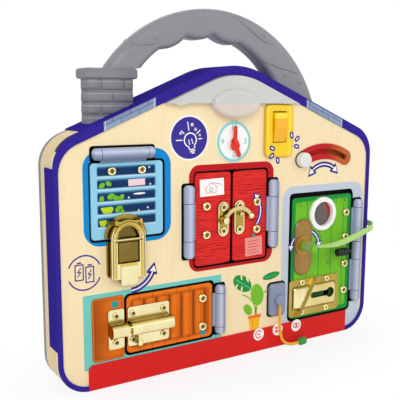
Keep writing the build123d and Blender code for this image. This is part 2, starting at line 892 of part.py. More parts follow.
lip_inner = house(lip_side_width, lip_roof_width, lip_foot_width)
band_outline = make_face(Polyline((band_left, lip_foot_height), (band_right, lip_foot_height),
                                  (band_right, band_height), (band_left, band_height), close=True))
band_outline = fillet(band_outline.vertices().sort_by_distance((band_left, band_height, 0))[0], band_corner)
edge_trim = plate(house(0, 0, lip_foot_height) - lip_inner, -lip_thickness, 0)
edge_trim -= plate(band_outline, -lip_thickness - overrun, overrun)
skirt = house(0, 0, lip_foot_height) - house(trim_thickness, trim_thickness, 0)
walls = span(-board_width / 2 - overrun, board_width / 2 + overrun, side_flange_low, side_flange_high, overrun)
walls -= span(-board_width / 2 + eave_radius, board_width / 2 - eave_radius, 0, ridge_height, overrun)
slopes = span(-roof_flange_half, roof_flange_half, roof_line(roof_flange_half) - eave_radius,
              ridge_height, overrun)
slopes -= span(-board_width, board_width, 0, side_flange_high, overrun)
edge_trim += plate(skirt & walls, -lip_thickness, side_flange_depth)
edge_trim += plate(skirt & slopes, -lip_thickness, board_depth)
peg_hole = Pos(board_width / 2, peg_y, peg_z) * Rot(0, 90, 0) * Cylinder(peg_radius + seat_gap, peg_length)
edge_trim -= peg_hole
for left, right in ((arch_tongue_left, arch_tongue_right), (chimney_tongue_left, chimney_tongue_right)):
    edge_trim -= plate(tongue(left, right, seat_gap), tongue_front - seat_gap, tongue_back + seat_gap)
save("edge_trim", edge_trim, "SlateBlue")

base_band = plate(band_outline, -lip_thickness, 0)
save("base_band", base_band, "Red")


# Hinges: bases and pins stay with the board, leaves go with the doors

flap_base, flap_leaf, flap_pin, flap_rebate = hinge(flap_knuckles)
red_base, red_leaf, red_pin, red_rebate = hinge(red_knuckles)
orange_base, orange_leaf, orange_pin, orange_rebate = hinge(orange_knuckles[::-1])
green_base, green_leaf, green_pin, green_rebate = hinge(green_knuckles[::-1])

save("flap_hinge_base", flap_place * flap_base, "LightSteelBlue")
save("red_hinge_bases", group([red_left_place * red_base, red_right_place * red_base]), "LightSteelBlue")
save("orange_hinge_base", orange_place * orange_base, "LightSteelBlue")
save("green_hinge_base", green_place * green_base, "LightSteelBlue")
save("hinge_pins", group([flap_place * flap_pin, red_left_place * red_pin, red_right_place * red_pin,
                          orange_place * orange_pin, green_place * green_pin]), "Silver")


# Roof lamp: a shade under the roof edge, a dome and a small board with lights behind it

lamp_area = at(0, (lamp_low + ridge_height) / 2) * Rectangle(board_width, ridge_height - lamp_low)
for side in (-1, 1):
    lamp_area += at(side * lamp_lobe_x, lamp_lobe_low + lamp_lobe_radius) * Circle(lamp_lobe_radius)
lamp_outline = lamp_area & house(lip_side_width, lip_roof_width + lamp_margin, 0)
dome_outline = at(dome_x, lamp_low) * Ellipse(dome_half_width, dome_half_height)
dome_hole = at(dome_x, lamp_low) * Ellipse(dome_half_width + seat_gap, dome_half_height + seat_gap)
lamp_housing = plate(lamp_outline, -lamp_forward, 0) - plate(dome_hole, -lamp_forward - overrun, overrun)
lamp_front = lamp_housing.faces().sort_by(Axis.Y)[0]
lamp_housing = chamfer(lamp_front.edges(), lamp_edge / 2)
switch_left = switch_x - switch_width / 2
switch_seat = span(switch_left - moving_gap, switch_left + switch_width + moving_gap, switch_low,
                   switch_top + moving_gap, switch_corner)
lamp_housing -= plate(switch_seat, -lamp_forward - overrun, overrun)
save("lamp_housing", lamp_housing, "Gold")

dome = plate(dome_outline, -dome_forward, 0)
dome = fillet(dome.faces().sort_by(Axis.Y)[0].edges(), dome_edge)
dome_inside = at(dome_x, lamp_low) * Ellipse(dome_half_width - lamp_wall, dome_half_height - lamp_wall)
dome_room = plate(dome_inside, -dome_forward + lamp_wall, overrun)
dome_room = fillet(dome_room.faces().sort_by(Axis.Y)[0].edges(), dome_edge - lamp_wall)
dome -= dome_room
save("lamp_dome", dome, "Gold")

led_board_front = picture_front - led_board_thickness
lamp_board = plate(at(dome_x, lamp_low + door_gap) * Rectangle(led_board_width, led_board_height),
                   led_board_front, picture_front)
for led in range(led_count):
    led_x = dome_x + led_pitch * (led - (led_count - 1) / 2)
    lamp_board += rod(led_x, lamp_low + door_gap, led_radius, led_board_front - led_height, led_board_front)
save("lamp_board", lamp_board, "SeaGreen")


# Clock: dial with its pin, hour hand and minute hand

hour_back = -clock_thickness - hand_gap
hour_front = hour_back - hand_thickness
minute_back = hour_front - hand_gap
minute_front = minute_back - hand_thickness
pin_front = minute_front - hand_gap


def hand(reach, tip_radius, front, back):
    """A clock hand that points up from the clock's middle, bored for the pin."""
    outline = Circle(hand_hub_radius) + at(0, -hand_tail) * Circle(hand_tail_radius)
    outline += at(0, reach) * Circle(tip_radius)
    outline += make_face(Polyline((-hand_hub_radius, -hand_tail), (hand_hub_radius, -hand_tail),
                                  (tip_radius, reach), (-tip_radius, reach), close=True))
    outline -= Circle(clock_pin_radius + running_gap)
    return outline


clock_dial = rod(clock_x, clock_z, clock_radius, -clock_thickness, 0)
clock_dial = chamfer(clock_dial.faces().sort_by(Axis.Y)[0].edges(), clock_thickness / 4)
clock_dial += rod(clock_x, clock_z, clock_pin_radius, pin_front, -clock_thickness)
clock_dial += rod(clock_x, clock_z, clock_pin_head, pin_front - clock_pin_head_height, pin_front)
save("clock_dial", clock_dial, "AliceBlue")
hour_outline = hand(hour_reach, hour_tip_radius, hour_front, hour_back)
minute_outline = hand(minute_reach, minute_tip_radius, minute_front, minute_back)
hour_hand = plate(at(clock_x, clock_z) * Rot(0, 0, -hour_angle) * hour_outline, hour_front, hour_back)
minute_hand = plate(at(clock_x, clock_z) * minute_outline, minute_front, minute_back)
save("hour_hand", hour_hand, "Red")
save("minute_hand", minute_hand, "Red")


# Light switch

switch_plate = plate(span(switch_left, switch_left + switch_width, switch_low, switch_top, switch_corner),
                     -switch_thickness, 0)
switch_plate = chamfer(switch_plate.faces().sort_by(Axis.Y)[0].edges(), switch_thickness / 4)
switch_plate -= plate(rocker_well, -switch_thickness - overrun, overrun)
switch_plate -= trunnion_groove
save("switch_plate", switch_plate, "Gold")

rocker_profile = make_face(Polyline(
    (-rocker_end_forward, -rocker_height / 2), (-rocker_forward, 0), (-rocker_end_forward, rocker_height / 2),
    (rocker_back, rocker_height / 2), (rocker_back, -rocker_height / 2), close=True))
rocker = extrude(Plane.YZ.offset(-rocker_width / 2) * rocker_profile, amount=rocker_width)
rocker = chamfer(rocker.edges().filter_by(Axis.X), running_gap * 4)
rocker += Rot(0, 90, 0) * Cylinder(trunnion_radius, rocker_width + 2 * rocker_gap + 2 * trunnion_length)
save("switch_rocker", Pos(switch_x, 0, rocker_z) * Rot(rocker_tilt, 0, 0) * rocker, "Gold")


# Arc slider

slider_track = plate(arc_band(slider_track_width), -slider_track_thickness, 0)
slider_track -= plate(arc_band(slider_slot_width), -slider_track_thickness - overrun, overrun)
save("slider_track", slider_track, "Turquoise")

knob_x = slider_x - slider_arc_radius * sin(radians(slider_half_angle))
knob_z = slider_centre_z + slider_arc_radius * cos(radians(slider_half_angle))
knob_back = -slider_track_thickness - seat_gap
knob = rod(knob_x, knob_z, knob_radius, knob_back - knob_height, knob_back)
knob = fillet(knob.faces().sort_by(Axis.Y)[0].edges(), knob_edge)
foot_front = slider_pocket_front + moving_gap
knob += rod(knob_x, knob_z, knob_stem_radius, knob_back, foot_front)
knob += rod(knob_x, knob_z, knob_foot_radius, foot_front, foot_front + knob_foot_thickness)
save("slider_knob", knob, "Turquoise")


# Blue shutter flap with its snap hasp

blue_flap = door(flap_left, flap_right, flap_low, flap_top)
for slot in range(flap_slot_count):
    slot_z = flap_slot_first - slot * flap_slot_pitch
    slot_outline = at(flap_slot_x, slot_z) * rounded(flap_slot_width, flap_slot_height, flap_slot_round)
    blue_flap -= plate(slot_outline, -overrun, flap_slot_depth)
flap_places = [(x, flap_slot_first) for x in flap_screw_xs]
flap_screw_radius = min(screw_head_radius, flap_slot_height / 2 - screw_gap)
save("blue_flap", screw_holes(blue_flap - flap_place * flap_rebate, flap_places), "SkyBlue")
save("flap_hinge_leaf", screw_holes(flap_place * flap_leaf, flap_places), "LightSteelBlue")
flap_screws = [screw(x, z, flap_slot_depth, flap_screw_radius, screw_head_height, screw_shank_radius,
                     screw_shank_length - flap_slot_depth, 1) for x, z in flap_places]
save("flap_screws", group(flap_screws), "Goldenrod")

crescent = at(hasp_x, crescent_low) * Circle(crescent_radius)
crescent &= at(hasp_x, crescent_low + crescent_radius / 2) * Rectangle(2 * crescent_radius, crescent_radius)
hasp_plate = plate(crescent, -crescent_thickness, 0)
for side in (-1, 1):
    ear_x = hasp_x + side * (ear_inner + ear_width / 2)
    ear = Pos(ear_x, -hasp_pivot_forward, hasp_pivot_z) * Rot(0, 90, 0) * Cylinder(ear_radius, ear_width)
    ear_depth = hasp_pivot_forward - crescent_thickness
    ear += Pos(ear_x, -crescent_thickness - ear_depth / 2, hasp_pivot_z) * Box(ear_width, ear_depth, 2 * ear_radius)
    hasp_plate += ear
hasp_axis = Pos(hasp_x, -hasp_pivot_forward, hasp_pivot_z) * Rot(0, 90, 0)
hasp_plate -= hasp_axis * Cylinder(hasp_pin_radius + running_gap, 2 * (ear_inner + 2 * ear_width))
save("hasp_plate", hasp_plate, "Goldenrod")

hasp_half = hasp_width / 2
hasp_outline = span(hasp_x - hasp_half, hasp_x + hasp_half, hasp_low, hasp_dee_low, ear_width)
hasp_outline += at(hasp_x, hasp_dee_low) * Circle(hasp_half)
hasp_outline += at(hasp_x, hasp_dee_low - ear_width) * Rectangle(hasp_width, 2 * ear_width)
dee = at(hasp_x, hasp_dee_low) * Circle(hasp_dee_radius)
dee &= at(hasp_x, hasp_dee_low + hasp_dee_radius / 2) * Rectangle(2 * hasp_dee_radius, hasp_dee_radius)
window_left = hasp_x - hasp_window_width / 2
window = at(hasp_x, (hasp_window_low + hasp_window_high) / 2)
window = window * Rectangle(hasp_window_width, hasp_window_high - hasp_window_low)
ear_notch_x = ear_inner - moving_gap
ear_notch_low = hasp_pivot_z - ear_radius - moving_gap
for side in (-1, 1):
    notch = at(hasp_x + side * (ear_notch_x + ear_radius), ear_notch_low + 2 * ear_radius)
    hasp_outline -= notch * Rectangle(2 * ear_radius, 4 * ear_radius)
hasp = plate(hasp_outline - dee - window, -hasp_front, -hasp_back)
hasp = chamfer(hasp.faces().sort_by(Axis.Y)[0].edges(), hasp_edge / 2)
hasp += plate(span(hasp_x - hasp_tab_width / 2, hasp_x + hasp_tab_width / 2, hasp_tab_low, hasp_window_low,
                   hasp_tab_corner), -hasp_front - hasp_tab_raise, -hasp_back)
hasp += hasp_axis * Cylinder(hasp_pin_radius, 2 * (ear_inner + ear_width))
save("hasp", hasp, "Goldenrod")

strike = plate(span(hasp_x - strike_width / 2, hasp_x + strike_width / 2, strike_low, strike_high,
                    strike_corner), -strike_thickness, 0)
staple = plate(span(window_left + staple_gap, window_left + hasp_window_width - staple_gap,
                    hasp_window_low + staple_gap, hasp_window_high - staple_gap, staple_edge),
               -staple_front, -strike_thickness)
strike += chamfer(staple.faces().sort_by(Axis.Y)[0].edges(), staple_edge / 2)
save("strike_plate", strike, "Goldenrod")


# Red double doors with their swing hook

red_left_in = red_left_axis + hinge_offset
red_right_in = red_right_axis - hinge_offset
red_left_places = [(red_left_in + red_screw_inset, z) for z in (red_screw_low, red_screw_high)]
red_right_places = [(red_right_in - red_screw_inset, z) for z in (red_screw_low, red_screw_high)]
red_door_left = door(red_left_in, red_middle_x - red_split / 2, red_low, red_high)
red_door_right = door(red_middle_x + red_split / 2, red_right_in, red_low, red_high)
save("red_door_left", screw_holes(red_door_left - red_left_place * red_rebate, red_left_places), "Tomato")
save("red_door_right", screw_holes(red_door_right - red_right_place * red_rebate, red_right_places), "Tomato")
save("red_left_hinge_leaf", screw_holes(red_left_place * red_leaf, red_left_places), "LightSteelBlue")
save("red_right_hinge_leaf", screw_holes(red_right_place * red_leaf, red_right_places), "LightSteelBlue")
save("red_left_screws", group(screws(red_left_places)), "Goldenrod")
save("red_right_screws", group(screws(red_right_places)), "Goldenrod")


def latch_plate(x):
    """The upright brass plate of the hook or of its catch, with a round boss at each end."""
    half = hook_plate_width / 2
    body = plate(span(x - half, x + half, hook_plate_z - hook_plate_height / 2,
                      hook_plate_z + hook_plate_height / 2, half - running_gap), -hook_plate_thickness, 0)
    for rise in (-hook_boss_rise, hook_boss_rise):
        body += rod(x, hook_plate_z + rise, boss_radius, -hook_plate_thickness - boss_height,
                    -hook_plate_thickness)
    return body


hook_front = -hook_back - hook_thickness
boss_front = -hook_plate_thickness - boss_height
rivet_back = hook_front - seat_gap
hook_plate = latch_plate(hook_plate_left_x)
hook_plate += rod(hook_plate_left_x, hook_pivot_z, boss_radius, boss_front, -hook_plate_thickness)
hook_plate += rod(hook_plate_left_x, hook_pivot_z, hook_post_radius, rivet_back, boss_front)
hook_plate += rod(hook_plate_left_x, hook_pivot_z, hook_rivet_radius, rivet_back - hook_rivet_height, rivet_back)
save("hook_plate", hook_plate, "Goldenrod")

catch_plate = latch_plate(hook_plate_right_x)
catch_plate += rod(hook_plate_right_x, catch_post_z, catch_post_radius, -catch_post_front, -hook_plate_thickness)
save("catch_plate", catch_plate, "Goldenrod")

arm_line = ThreePointArc((hook_plate_left_x, hook_pivot_z), (hook_top_x, hook_top_z), (hook_end_x, hook_end_z))
hook_outline = trace(arm_line, hook_arm_width) + at(hook_plate_left_x, hook_pivot_z) * Circle(hook_eye_radius)
hook = plate(hook_outline, hook_front, -hook_back)
hook += Pos(hook_end_x, (hook_front - hook_back) / 2, hook_end_z) * Sphere(hook_ball_radius)
hook -= rod(hook_plate_left_x, hook_pivot_z, hook_post_radius + running_gap, hook_front - overrun, 0)
save("hook", hook, "Goldenrod")


# Orange gate with its barrel bolt

orange_places = [(orange_right - orange_screw_inset, z) for z in (orange_screw_low, orange_screw_high)]
orange_door = door(orange_left, orange_right, orange_low, orange_high)
groove_pitch = (orange_right - orange_left) / (orange_groove_count + 1)
for groove in range(orange_groove_count):
    groove_x = orange_left + (groove + 1) * groove_pitch
    line = at(groove_x, (orange_low + orange_high) / 2) * Rectangle(orange_groove_width, orange_high - orange_low)
    orange_door -= plate(line, -overrun, orange_groove_depth)
save("orange_door", screw_holes(orange_door - orange_place * orange_rebate, orange_places), "Orange")
save("orange_hinge_leaf", screw_holes(orange_place * orange_leaf, orange_places), "LightSteelBlue")
save("orange_screws", group(screws(orange_places)), "Goldenrod")


def bolt_part(left, right, bore_left, bore_right, bore_gap):
    """A bolt plate with a half-round barrel on it, bored for the rod between two places."""
    body = plate(span(left, right, bolt_z - bolt_height / 2, bolt_z + bolt_height / 2, bolt_corner),
                 -bolt_thickness, 0)
    barrel = Pos((left + right) / 2, -bolt_axis_forward, bolt_z) * Rot(0, 90, 0)
    barrel = barrel * Cylinder(bolt_barrel_radius, right - left)
    barrel -= Pos((left + right) / 2, bolt_axis_forward / 2, bolt_z) * Box(
        2 * (right - left), bolt_axis_forward, 4 * bolt_barrel_radius)
    body += barrel
    bore = Pos((bore_left + bore_right) / 2, -bolt_axis_forward, bolt_z) * Rot(0, 90, 0)
    return body - bore * Cylinder(bolt_rod_radius + bore_gap, bore_right - bore_left)


def bolt_screws(places):
    """The slotted heads of the screws that hold a bolt plate."""
    return [screw(x, z, -bolt_thickness, bolt_screw_radius, bolt_screw_height, bolt_screw_radius / 2,
                  bolt_thickness / 2, 1) for x, z in places]


knob_slot_gap = bolt_knob_radius + moving_gap
bolt_body = bolt_part(bolt_left, bolt_right, bolt_left - overrun, bolt_right + overrun, bolt_bore_gap)
slot_left = bolt_knob_x - bolt_lock_travel - knob_slot_gap
slot_right = bolt_knob_x + bolt_free_travel + knob_slot_gap
slot_middle = (slot_left + slot_right) / 2
bolt_body -= Pos(slot_middle, -bolt_axis_forward, bolt_z - bolt_barrel_radius) * Box(
    slot_right - slot_left, 2 * knob_slot_gap, 2 * bolt_barrel_radius)
bolt_body += group(bolt_screws([(x, bolt_z + side * bolt_screw_rise) for x in bolt_screw_xs for side in (-1, 1)]))
save("bolt_body", bolt_body, "Goldenrod")
bore_end = keeper_right - bolt_lock_travel - 2 * moving_gap
bolt_keeper = bolt_part(keeper_left, keeper_right, bore_end, keeper_right + overrun, keeper_bore_gap)
bolt_keeper += group(bolt_screws([(keeper_screw_x, bolt_z + side * bolt_screw_rise) for side in (-1, 1)]))
save("bolt_keeper", bolt_keeper, "Goldenrod")

bolt_rod = Pos((bolt_rod_left + bolt_rod_right) / 2, -bolt_axis_forward, bolt_z) * Rot(0, 90, 0)
bolt_rod = bolt_rod * Cylinder(bolt_rod_radius, bolt_rod_right - bolt_rod_left)
bolt_rod = chamfer(bolt_rod.edges(), running_gap * 12)
knob_place = Pos(bolt_knob_x, -bolt_axis_forward, bolt_z)
bolt_rod += knob_place * Pos(0, 0, -bolt_knob_reach / 2) * Cylinder(bolt_knob_radius, bolt_knob_reach)
bolt_rod += knob_place * Pos(0, 0, -bolt_knob_reach) * Sphere(bolt_knob_ball)
save("bolt_rod", bolt_rod, "Goldenrod")


# Green door with its porthole, lock and chain plate

green_places = [(green_right - green_screw_inset, z) for z in green_screw_heights]
green_door = door(green_left, green_right, green_low, green_high)
green_door -= rod(porthole_x, porthole_z, porthole_collar_radius + seat_gap, -overrun, front_thickness)
save("green_door", screw_holes(green_door - green_place * green_rebate, green_places), "LimeGreen")
save("green_hinge_leaf", screw_holes(green_place * green_leaf, green_places), "LightSteelBlue")
save("green_screws", group(screws(green_places)), "Goldenrod")

porthole_ring = rod(porthole_x, porthole_z, porthole_radius, -porthole_forward, 0)
porthole_ring = fillet(porthole_ring.faces().sort_by(Axis.Y)[0].edges(), porthole_forward / 3)
porthole_ring += rod(porthole_x, porthole_z, porthole_collar_radius, 0, door_thickness)
porthole_ring -= rod(porthole_x, porthole_z, porthole_lens_radius, -porthole_forward - overrun, front_thickness)
lens_radius = porthole_lens_radius + porthole_lens_lap
porthole_ring -= rod(porthole_x, porthole_z, lens_radius + seat_gap, porthole_lens_front, front_thickness)
save("porthole_ring", porthole_ring, "White")
save("porthole_lens", rod(porthole_x, porthole_z, lens_radius, porthole_lens_front,
                          porthole_lens_front + porthole_lens_thickness), "LightCyan")

lock_front = -lock_plate_thickness - lock_boss_height - lock_ring_height
escutcheon = plate(at(lock_plate_x, lock_plate_z) * rounded(lock_plate_width, lock_plate_height,
                                                            lock_plate_width / 2 - running_gap),
                   -lock_plate_thickness, 0)
escutcheon = chamfer(escutcheon.faces().sort_by(Axis.Y)[0].edges(), lock_plate_thickness / 3)
escutcheon += rod(lock_x, lock_z, lock_boss_radius, -lock_plate_thickness - lock_boss_height, -lock_plate_thickness)
escutcheon += rod(lock_x, lock_z, lock_ring_radius, lock_front, -lock_plate_thickness)
escutcheon -= rod(porthole_x, porthole_z, porthole_radius + seat_gap, lock_front, overrun)
escutcheon -= rod(lock_x, lock_z, key_stem_radius + running_gap, lock_front - overrun,
                  lock_front + key_stem_length + seat_gap)
save("escutcheon", escutcheon, "Goldenrod")

stations = [lock_front + key_stem_length, lock_front - seat_gap]
for length in (key_bow_length, key_ferrule_length, key_neck_length, key_end_length):
    stations.append(stations[-1] - length)
key_radii = (key_stem_radius, key_bow_radius, key_ferrule_radius, key_neck_radius, key_end_radius)
key = None
for back, front, radius in zip(stations, stations[1:], key_radii):
    section = rod(lock_x, lock_z, radius, front, back)
    if radius in (key_bow_radius, key_ferrule_radius, key_end_radius):
        section = fillet(section.edges(), key_groove_depth)
    key = section if key is None else key + section
save("key", key, "LimeGreen")
neck_middle = (stations[3] + stations[4]) / 2


def strap_eye(place, bore_radius):
    """A ring round the Z axis of a place, wide enough to turn on the post inside it."""
    return place * (Cylinder(strap_eye_radius, strap_eye_width)
                    - Cylinder(bore_radius + strap_eye_bore_gap, 2 * strap_eye_width))


key_eye_place = Pos(lock_x, neck_middle, lock_z) * Rot(90, 0, 0)
peg_eye_place = Pos(strap_points[-1][0], peg_y, peg_z) * Rot(0, 90, 0)
key_strap = tube(strap_points, strap_diameter)
key_strap -= key_eye_place * Cylinder(strap_eye_radius - overrun, strap_eye_width * 2)
key_strap -= peg_eye_place * Cylinder(strap_eye_radius - overrun, strap_eye_width * 2)
key_strap += strap_eye(key_eye_place, key_neck_radius)
key_strap += strap_eye(peg_eye_place, peg_radius)
save("key_strap", key_strap, "YellowGreen")

half_width = slide_width / 2
half_height = slide_height / 2
slide_plate = plate(at(slide_x, slide_z) * rounded(slide_width, slide_height, slide_corner), -slide_thickness, 0)
rim = at(slide_x, slide_z) * rounded(slide_rim_width, slide_rim_height, slide_corner)
slide_plate += chamfer(plate(rim, -slide_rim_forward, -slide_thickness).faces().sort_by(Axis.Y)[0].edges(),
                       slide_thickness)
brace_low = slide_z - half_height + seat_gap
brace_high = slide_z + half_height - seat_gap
brace = make_face(Polyline((slide_brace_low_x, brace_low), (slide_brace_low_x + slide_brace_width, brace_low),
                           (slide_brace_top_x + slide_brace_width, brace_high), (slide_brace_top_x, brace_high),
                           close=True))
slide_plate += plate(brace, -slide_rim_forward - slide_brace_raise, -slide_thickness)
slot_outline = span(slide_slot_left, slide_slot_right, slide_slot_z - slide_slot_radius,
                    slide_slot_z + slide_slot_radius, slide_slot_radius - running_gap)
slot_outline += at(slide_slot_right, slide_slot_z) * Circle(slide_key_radius)
slide_plate -= plate(slot_outline, -slide_rim_forward - overrun, overrun)
for eye_x in (slide_x - half_width / 2, slide_x + half_width / 2):
    for eye_z in (slide_z - half_height + slide_eye_radius + seat_gap,
                  slide_z + half_height - slide_eye_radius - seat_gap):
        eye = rod(eye_x, eye_z, slide_eye_radius, -slide_thickness - slide_eye_height, -slide_thickness)
        slide_plate += chamfer(eye.faces().sort_by(Axis.Y)[0].edges(), slide_eye_height / 3)
        slide_plate -= rod(eye_x, eye_z, slide_eye_bore_radius, -slide_rim_forward, -slide_thickness)
save("slide_plate", slide_plate, "Goldenrod")

toggle_place = Pos(toggle_x, -toggle_forward, toggle_z) * Rot(0, 90, 0)
toggle = toggle_place * Cylinder(toggle_radius, toggle_length)
toggle = fillet(toggle.edges(), toggle_groove_depth * 2)
for groove in range(toggle_groove_count):
    shift = toggle_length * (groove + 1) / (toggle_groove_count + 1) - toggle_length / 2
    toggle -= toggle_place * Pos(0, 0, shift) * (
        Cylinder(toggle_radius + overrun, toggle_groove_width)
        - Cylinder(toggle_radius - toggle_groove_depth, 2 * toggle_groove_width))
stem_end = toggle_x + toggle_length / 2 + toggle_stem_reach
toggle += Pos(stem_end - toggle_stem_reach, -toggle_forward, toggle_z) * Rot(0, 90, 0) * Cylinder(
    toggle_stem_radius, 2 * toggle_stem_reach)
toggle += rod(stem_end, toggle_z, toggle_stem_radius, -toggle_forward - toggle_stem_radius, 0)
save("toggle", toggle, "DimGray")


# Door chain: its anchor on the board, a cord and a bead

anchor = plate(at(anchor_x, anchor_z) * rounded(anchor_width, anchor_height, anchor_corner), -anchor_thickness, 0)
anchor = chamfer(anchor.faces().sort_by(Axis.Y)[0].edges(), anchor_corner / 2)
button = rod(anchor_x, anchor_z, anchor_button_radius, -anchor_thickness - anchor_button_height, -anchor_thickness)
anchor += fillet(button.faces().sort_by(Axis.Y)[0].edges(), anchor_corner / 2)
cord_start = Vector(*chain_points[0])
bore_middle = (cord_start.Z + seat_gap + anchor_z - anchor_button_radius - overrun) / 2
bore_length = cord_start.Z + seat_gap - anchor_z + anchor_button_radius + overrun
anchor -= Pos(cord_start.X, cord_start.Y, bore_middle) * Cylinder(chain_diameter / 2 + running_gap, bore_length)
save("chain_anchor", anchor, "DarkGray")

save("chain_cord", tube(chain_points, chain_diameter), "Orange")
cord_end = Vector(*chain_points[-1])
cord_way = (cord_end - Vector(*chain_points[-2])).normalized()
bead_plane = Plane(origin=cord_end, z_dir=cord_way)
bead = bead_plane * Cylinder(bead_radius, bead_length, align=(Align.CENTER, Align.CENTER, Align.CENTER))
bead = fillet(bead.edges(), bead_radius / 3)
bead -= bead_plane * Pos(0, 0, -bead_length / 2) * Cylinder(chain_diameter / 2 + running_gap, bead_length)
save("chain_bead", bead, "LimeGreen")
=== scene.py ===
"""Looks for a house-shaped latch board: printed plywood, moulded trim, brass latches and cords."""

import json
import logging
import math
from dataclasses import dataclass, field
from enum import Enum
from typing import Callable, Iterable, Sequence

import bmesh
import bpy
from mathutils import Matrix, Vector


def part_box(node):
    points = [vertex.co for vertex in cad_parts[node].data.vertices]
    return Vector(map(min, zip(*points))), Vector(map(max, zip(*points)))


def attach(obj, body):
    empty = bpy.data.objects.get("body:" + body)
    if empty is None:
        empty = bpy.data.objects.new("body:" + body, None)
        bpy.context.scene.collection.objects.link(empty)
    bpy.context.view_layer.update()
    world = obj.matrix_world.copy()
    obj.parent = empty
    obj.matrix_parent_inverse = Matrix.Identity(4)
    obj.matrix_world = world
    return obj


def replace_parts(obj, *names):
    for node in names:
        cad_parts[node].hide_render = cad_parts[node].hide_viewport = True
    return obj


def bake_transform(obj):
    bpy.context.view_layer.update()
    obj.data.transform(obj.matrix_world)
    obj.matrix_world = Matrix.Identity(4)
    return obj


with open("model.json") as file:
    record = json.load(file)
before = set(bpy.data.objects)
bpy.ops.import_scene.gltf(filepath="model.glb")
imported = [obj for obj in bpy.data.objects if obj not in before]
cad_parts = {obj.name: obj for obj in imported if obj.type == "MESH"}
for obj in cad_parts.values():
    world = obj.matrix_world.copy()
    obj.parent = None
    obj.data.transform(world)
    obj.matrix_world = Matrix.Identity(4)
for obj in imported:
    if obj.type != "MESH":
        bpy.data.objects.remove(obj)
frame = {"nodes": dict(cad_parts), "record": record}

log = logging.getLogger("latch_board")

MM = 0.001
BOARD_MIDDLE = 16.5
BOARD_BODY = "board"
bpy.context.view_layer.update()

Point = tuple[float, float]
Triple = tuple[float, float, float]
Box = tuple[float, float, float, float]
Patch = tuple[float, float, float, float, float]

# One film of ink, drawn thicker than life so that layers of ink stay apart in the render.
INK_MM = 0.06
UPRIGHT = Matrix.Rotation(math.radians(90), 4, "X")
RED_HINGE_SIDES: tuple[Point, ...] = ((-47.0, -36.0), (32.6, 43.6))
RED_HINGE_HEIGHTS: Point = (89.9, 147.3)


class Tone(Enum):
    """The colours of the prints, mouldings and metals, as sRGB hex values."""

    CREAM = "F8E3B8"
    PLY = "E9D3A6"
    INDIGO = "372A92"
    BAND_RED = "D81F1C"
    DOOR_RED = "E32A26"
    HAND_RED = "E5301C"
    DEEP_RED = "BE1019"
    DRY_RED = "9C1216"
    BLUE = "0088D2"
    PALE_BLUE = "92CFE9"
    SLAT_BLUE = "4B8DB8"
    SLAT_LIGHT = "C6E8F6"
    NAVY = "0B3360"
    TEAL = "72CBC0"
    ORANGE = "F07610"
    DARK_ORANGE = "8A3A04"
    SHADE_GREY = "58575C"
    RUST = "BE5A24"
    LILAC = "A0ABC8"
    PALE_LILAC = "CDD4E8"
    STEEL_BLUE = "7C89A6"
    SMOKE = "86868C"
    SLATE = "8590AB"
    BRICK_BLUE = "94A6C4"
    BRICK_LINE = "4A5C80"
    LEAF = "74BE26"
    LIME = "BEDC1E"
    PALE_LEAF = "BEE884"
    DARK_LEAF = "0E9436"
    DEEP_LEAF = "0B4A22"
    FRAME_GREY = "C3CDDA"
    YELLOW = "F8CF05"
    BRIGHT_YELLOW = "FFE12E"
    OCHRE = "D49A06"
    AMBER = "FBB713"
    INK = "0E0D10"
    WHITE = "F9F9F8"
    PINK = "F6D3DC"
    CORAL = "F0958C"
    MILK = "E3E3E1"
    HAZE = "CFCFCC"
    WARM_HAZE = "DCD0C6"
    ZINC = "D2D3D6"
    BACK_GREY = "8F8F92"
    GOLD_PRINT = "A4792A"
    TEAL_DEEP = "2E9C9A"
    AQUA = "8FD0CB"
    UMBER = "5A514A"
    BRONZE = "54431A"
    OLIVE = "8F7A36"
    # The brass tones are lit and shaded copies of one plating, for painted highlights, painted reflections and
    # painted shade.
    BRASS_LIGHT = "FBF2C0"
    BRASS = "CDB257"
    BRASS_DEEP = "75632E"
    WARM_BRASS_LIGHT = "F8E896"
    WARM_BRASS = "DCB53C"
    WARM_BRASS_DEEP = "8C6A1C"
    DIM_BRASS_LIGHT = "7A6428"
    DIM_BRASS = "57461A"
    DIM_BRASS_DEEP = "33280C"


# What shows through the slider's slot and the switch's opening, on the panel's inside and the picture board: colours
# painted lighter than the black round them, as painted light that lifts the shade in these gaps.
WALL_GAPS: tuple[tuple[Tone, Patch], ...] = (
    (Tone.DOOR_RED, (60, 104, 148, 178, 3)),
    (Tone.RUST, (104, 126, 148, 178, 3)),
    (Tone.AMBER, (19, 58, 164, 212, 3)),
)


def linear(hex_code: str) -> tuple[float, float, float, float]:
    """Turn an sRGB hex colour into linear light.

    Args:
        hex_code: Six hex digits.

    Returns:
        Red, green, blue and an alpha of one.
    """
    parts = [int(hex_code[i:i + 2], 16) / 255 for i in (0, 2, 4)]
    low_knee, offset, scale, power = 0.04045, 0.055, 1.055, 2.4
    light = [c / 12.92 if c <= low_knee else ((c + offset) / scale) ** power for c in parts]
    return (*light, 1.0)


def on_face(x: float, depth: float, z: float) -> Vector:
    """Give the place of a point of the board in metres.

    Args:
        x: Millimetres to the right of the middle.
        depth: Millimetres behind the face of the front panel.
        z: Millimetres above the foot.

    Returns:
        The point in the frame of the CAD.
    """
    return Vector((x, depth - BOARD_MIDDLE, z)) * MM


def reach_of(nodes: Iterable[str]) -> Box:
    """Give the left, right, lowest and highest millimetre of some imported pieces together."""
    corners = [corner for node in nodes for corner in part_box(node)]
    across = [corner.x / MM for corner in corners]
    upright = [corner.z / MM for corner in corners]
    return min(across), max(across), min(upright), max(upright)


def along(angle: float, reach: float = 1.0) -> Vector:
    """Give a step of some length in a direction, in degrees from the right against the clock."""
    return Vector((math.cos(math.radians(angle)), math.sin(math.radians(angle)))) * reach


def link(name: str, data: bpy.types.ID) -> bpy.types.Object:
    """Put an object with some data into the scene."""
    made = bpy.data.objects.new(name, data)
    bpy.context.collection.objects.link(made)
    return made


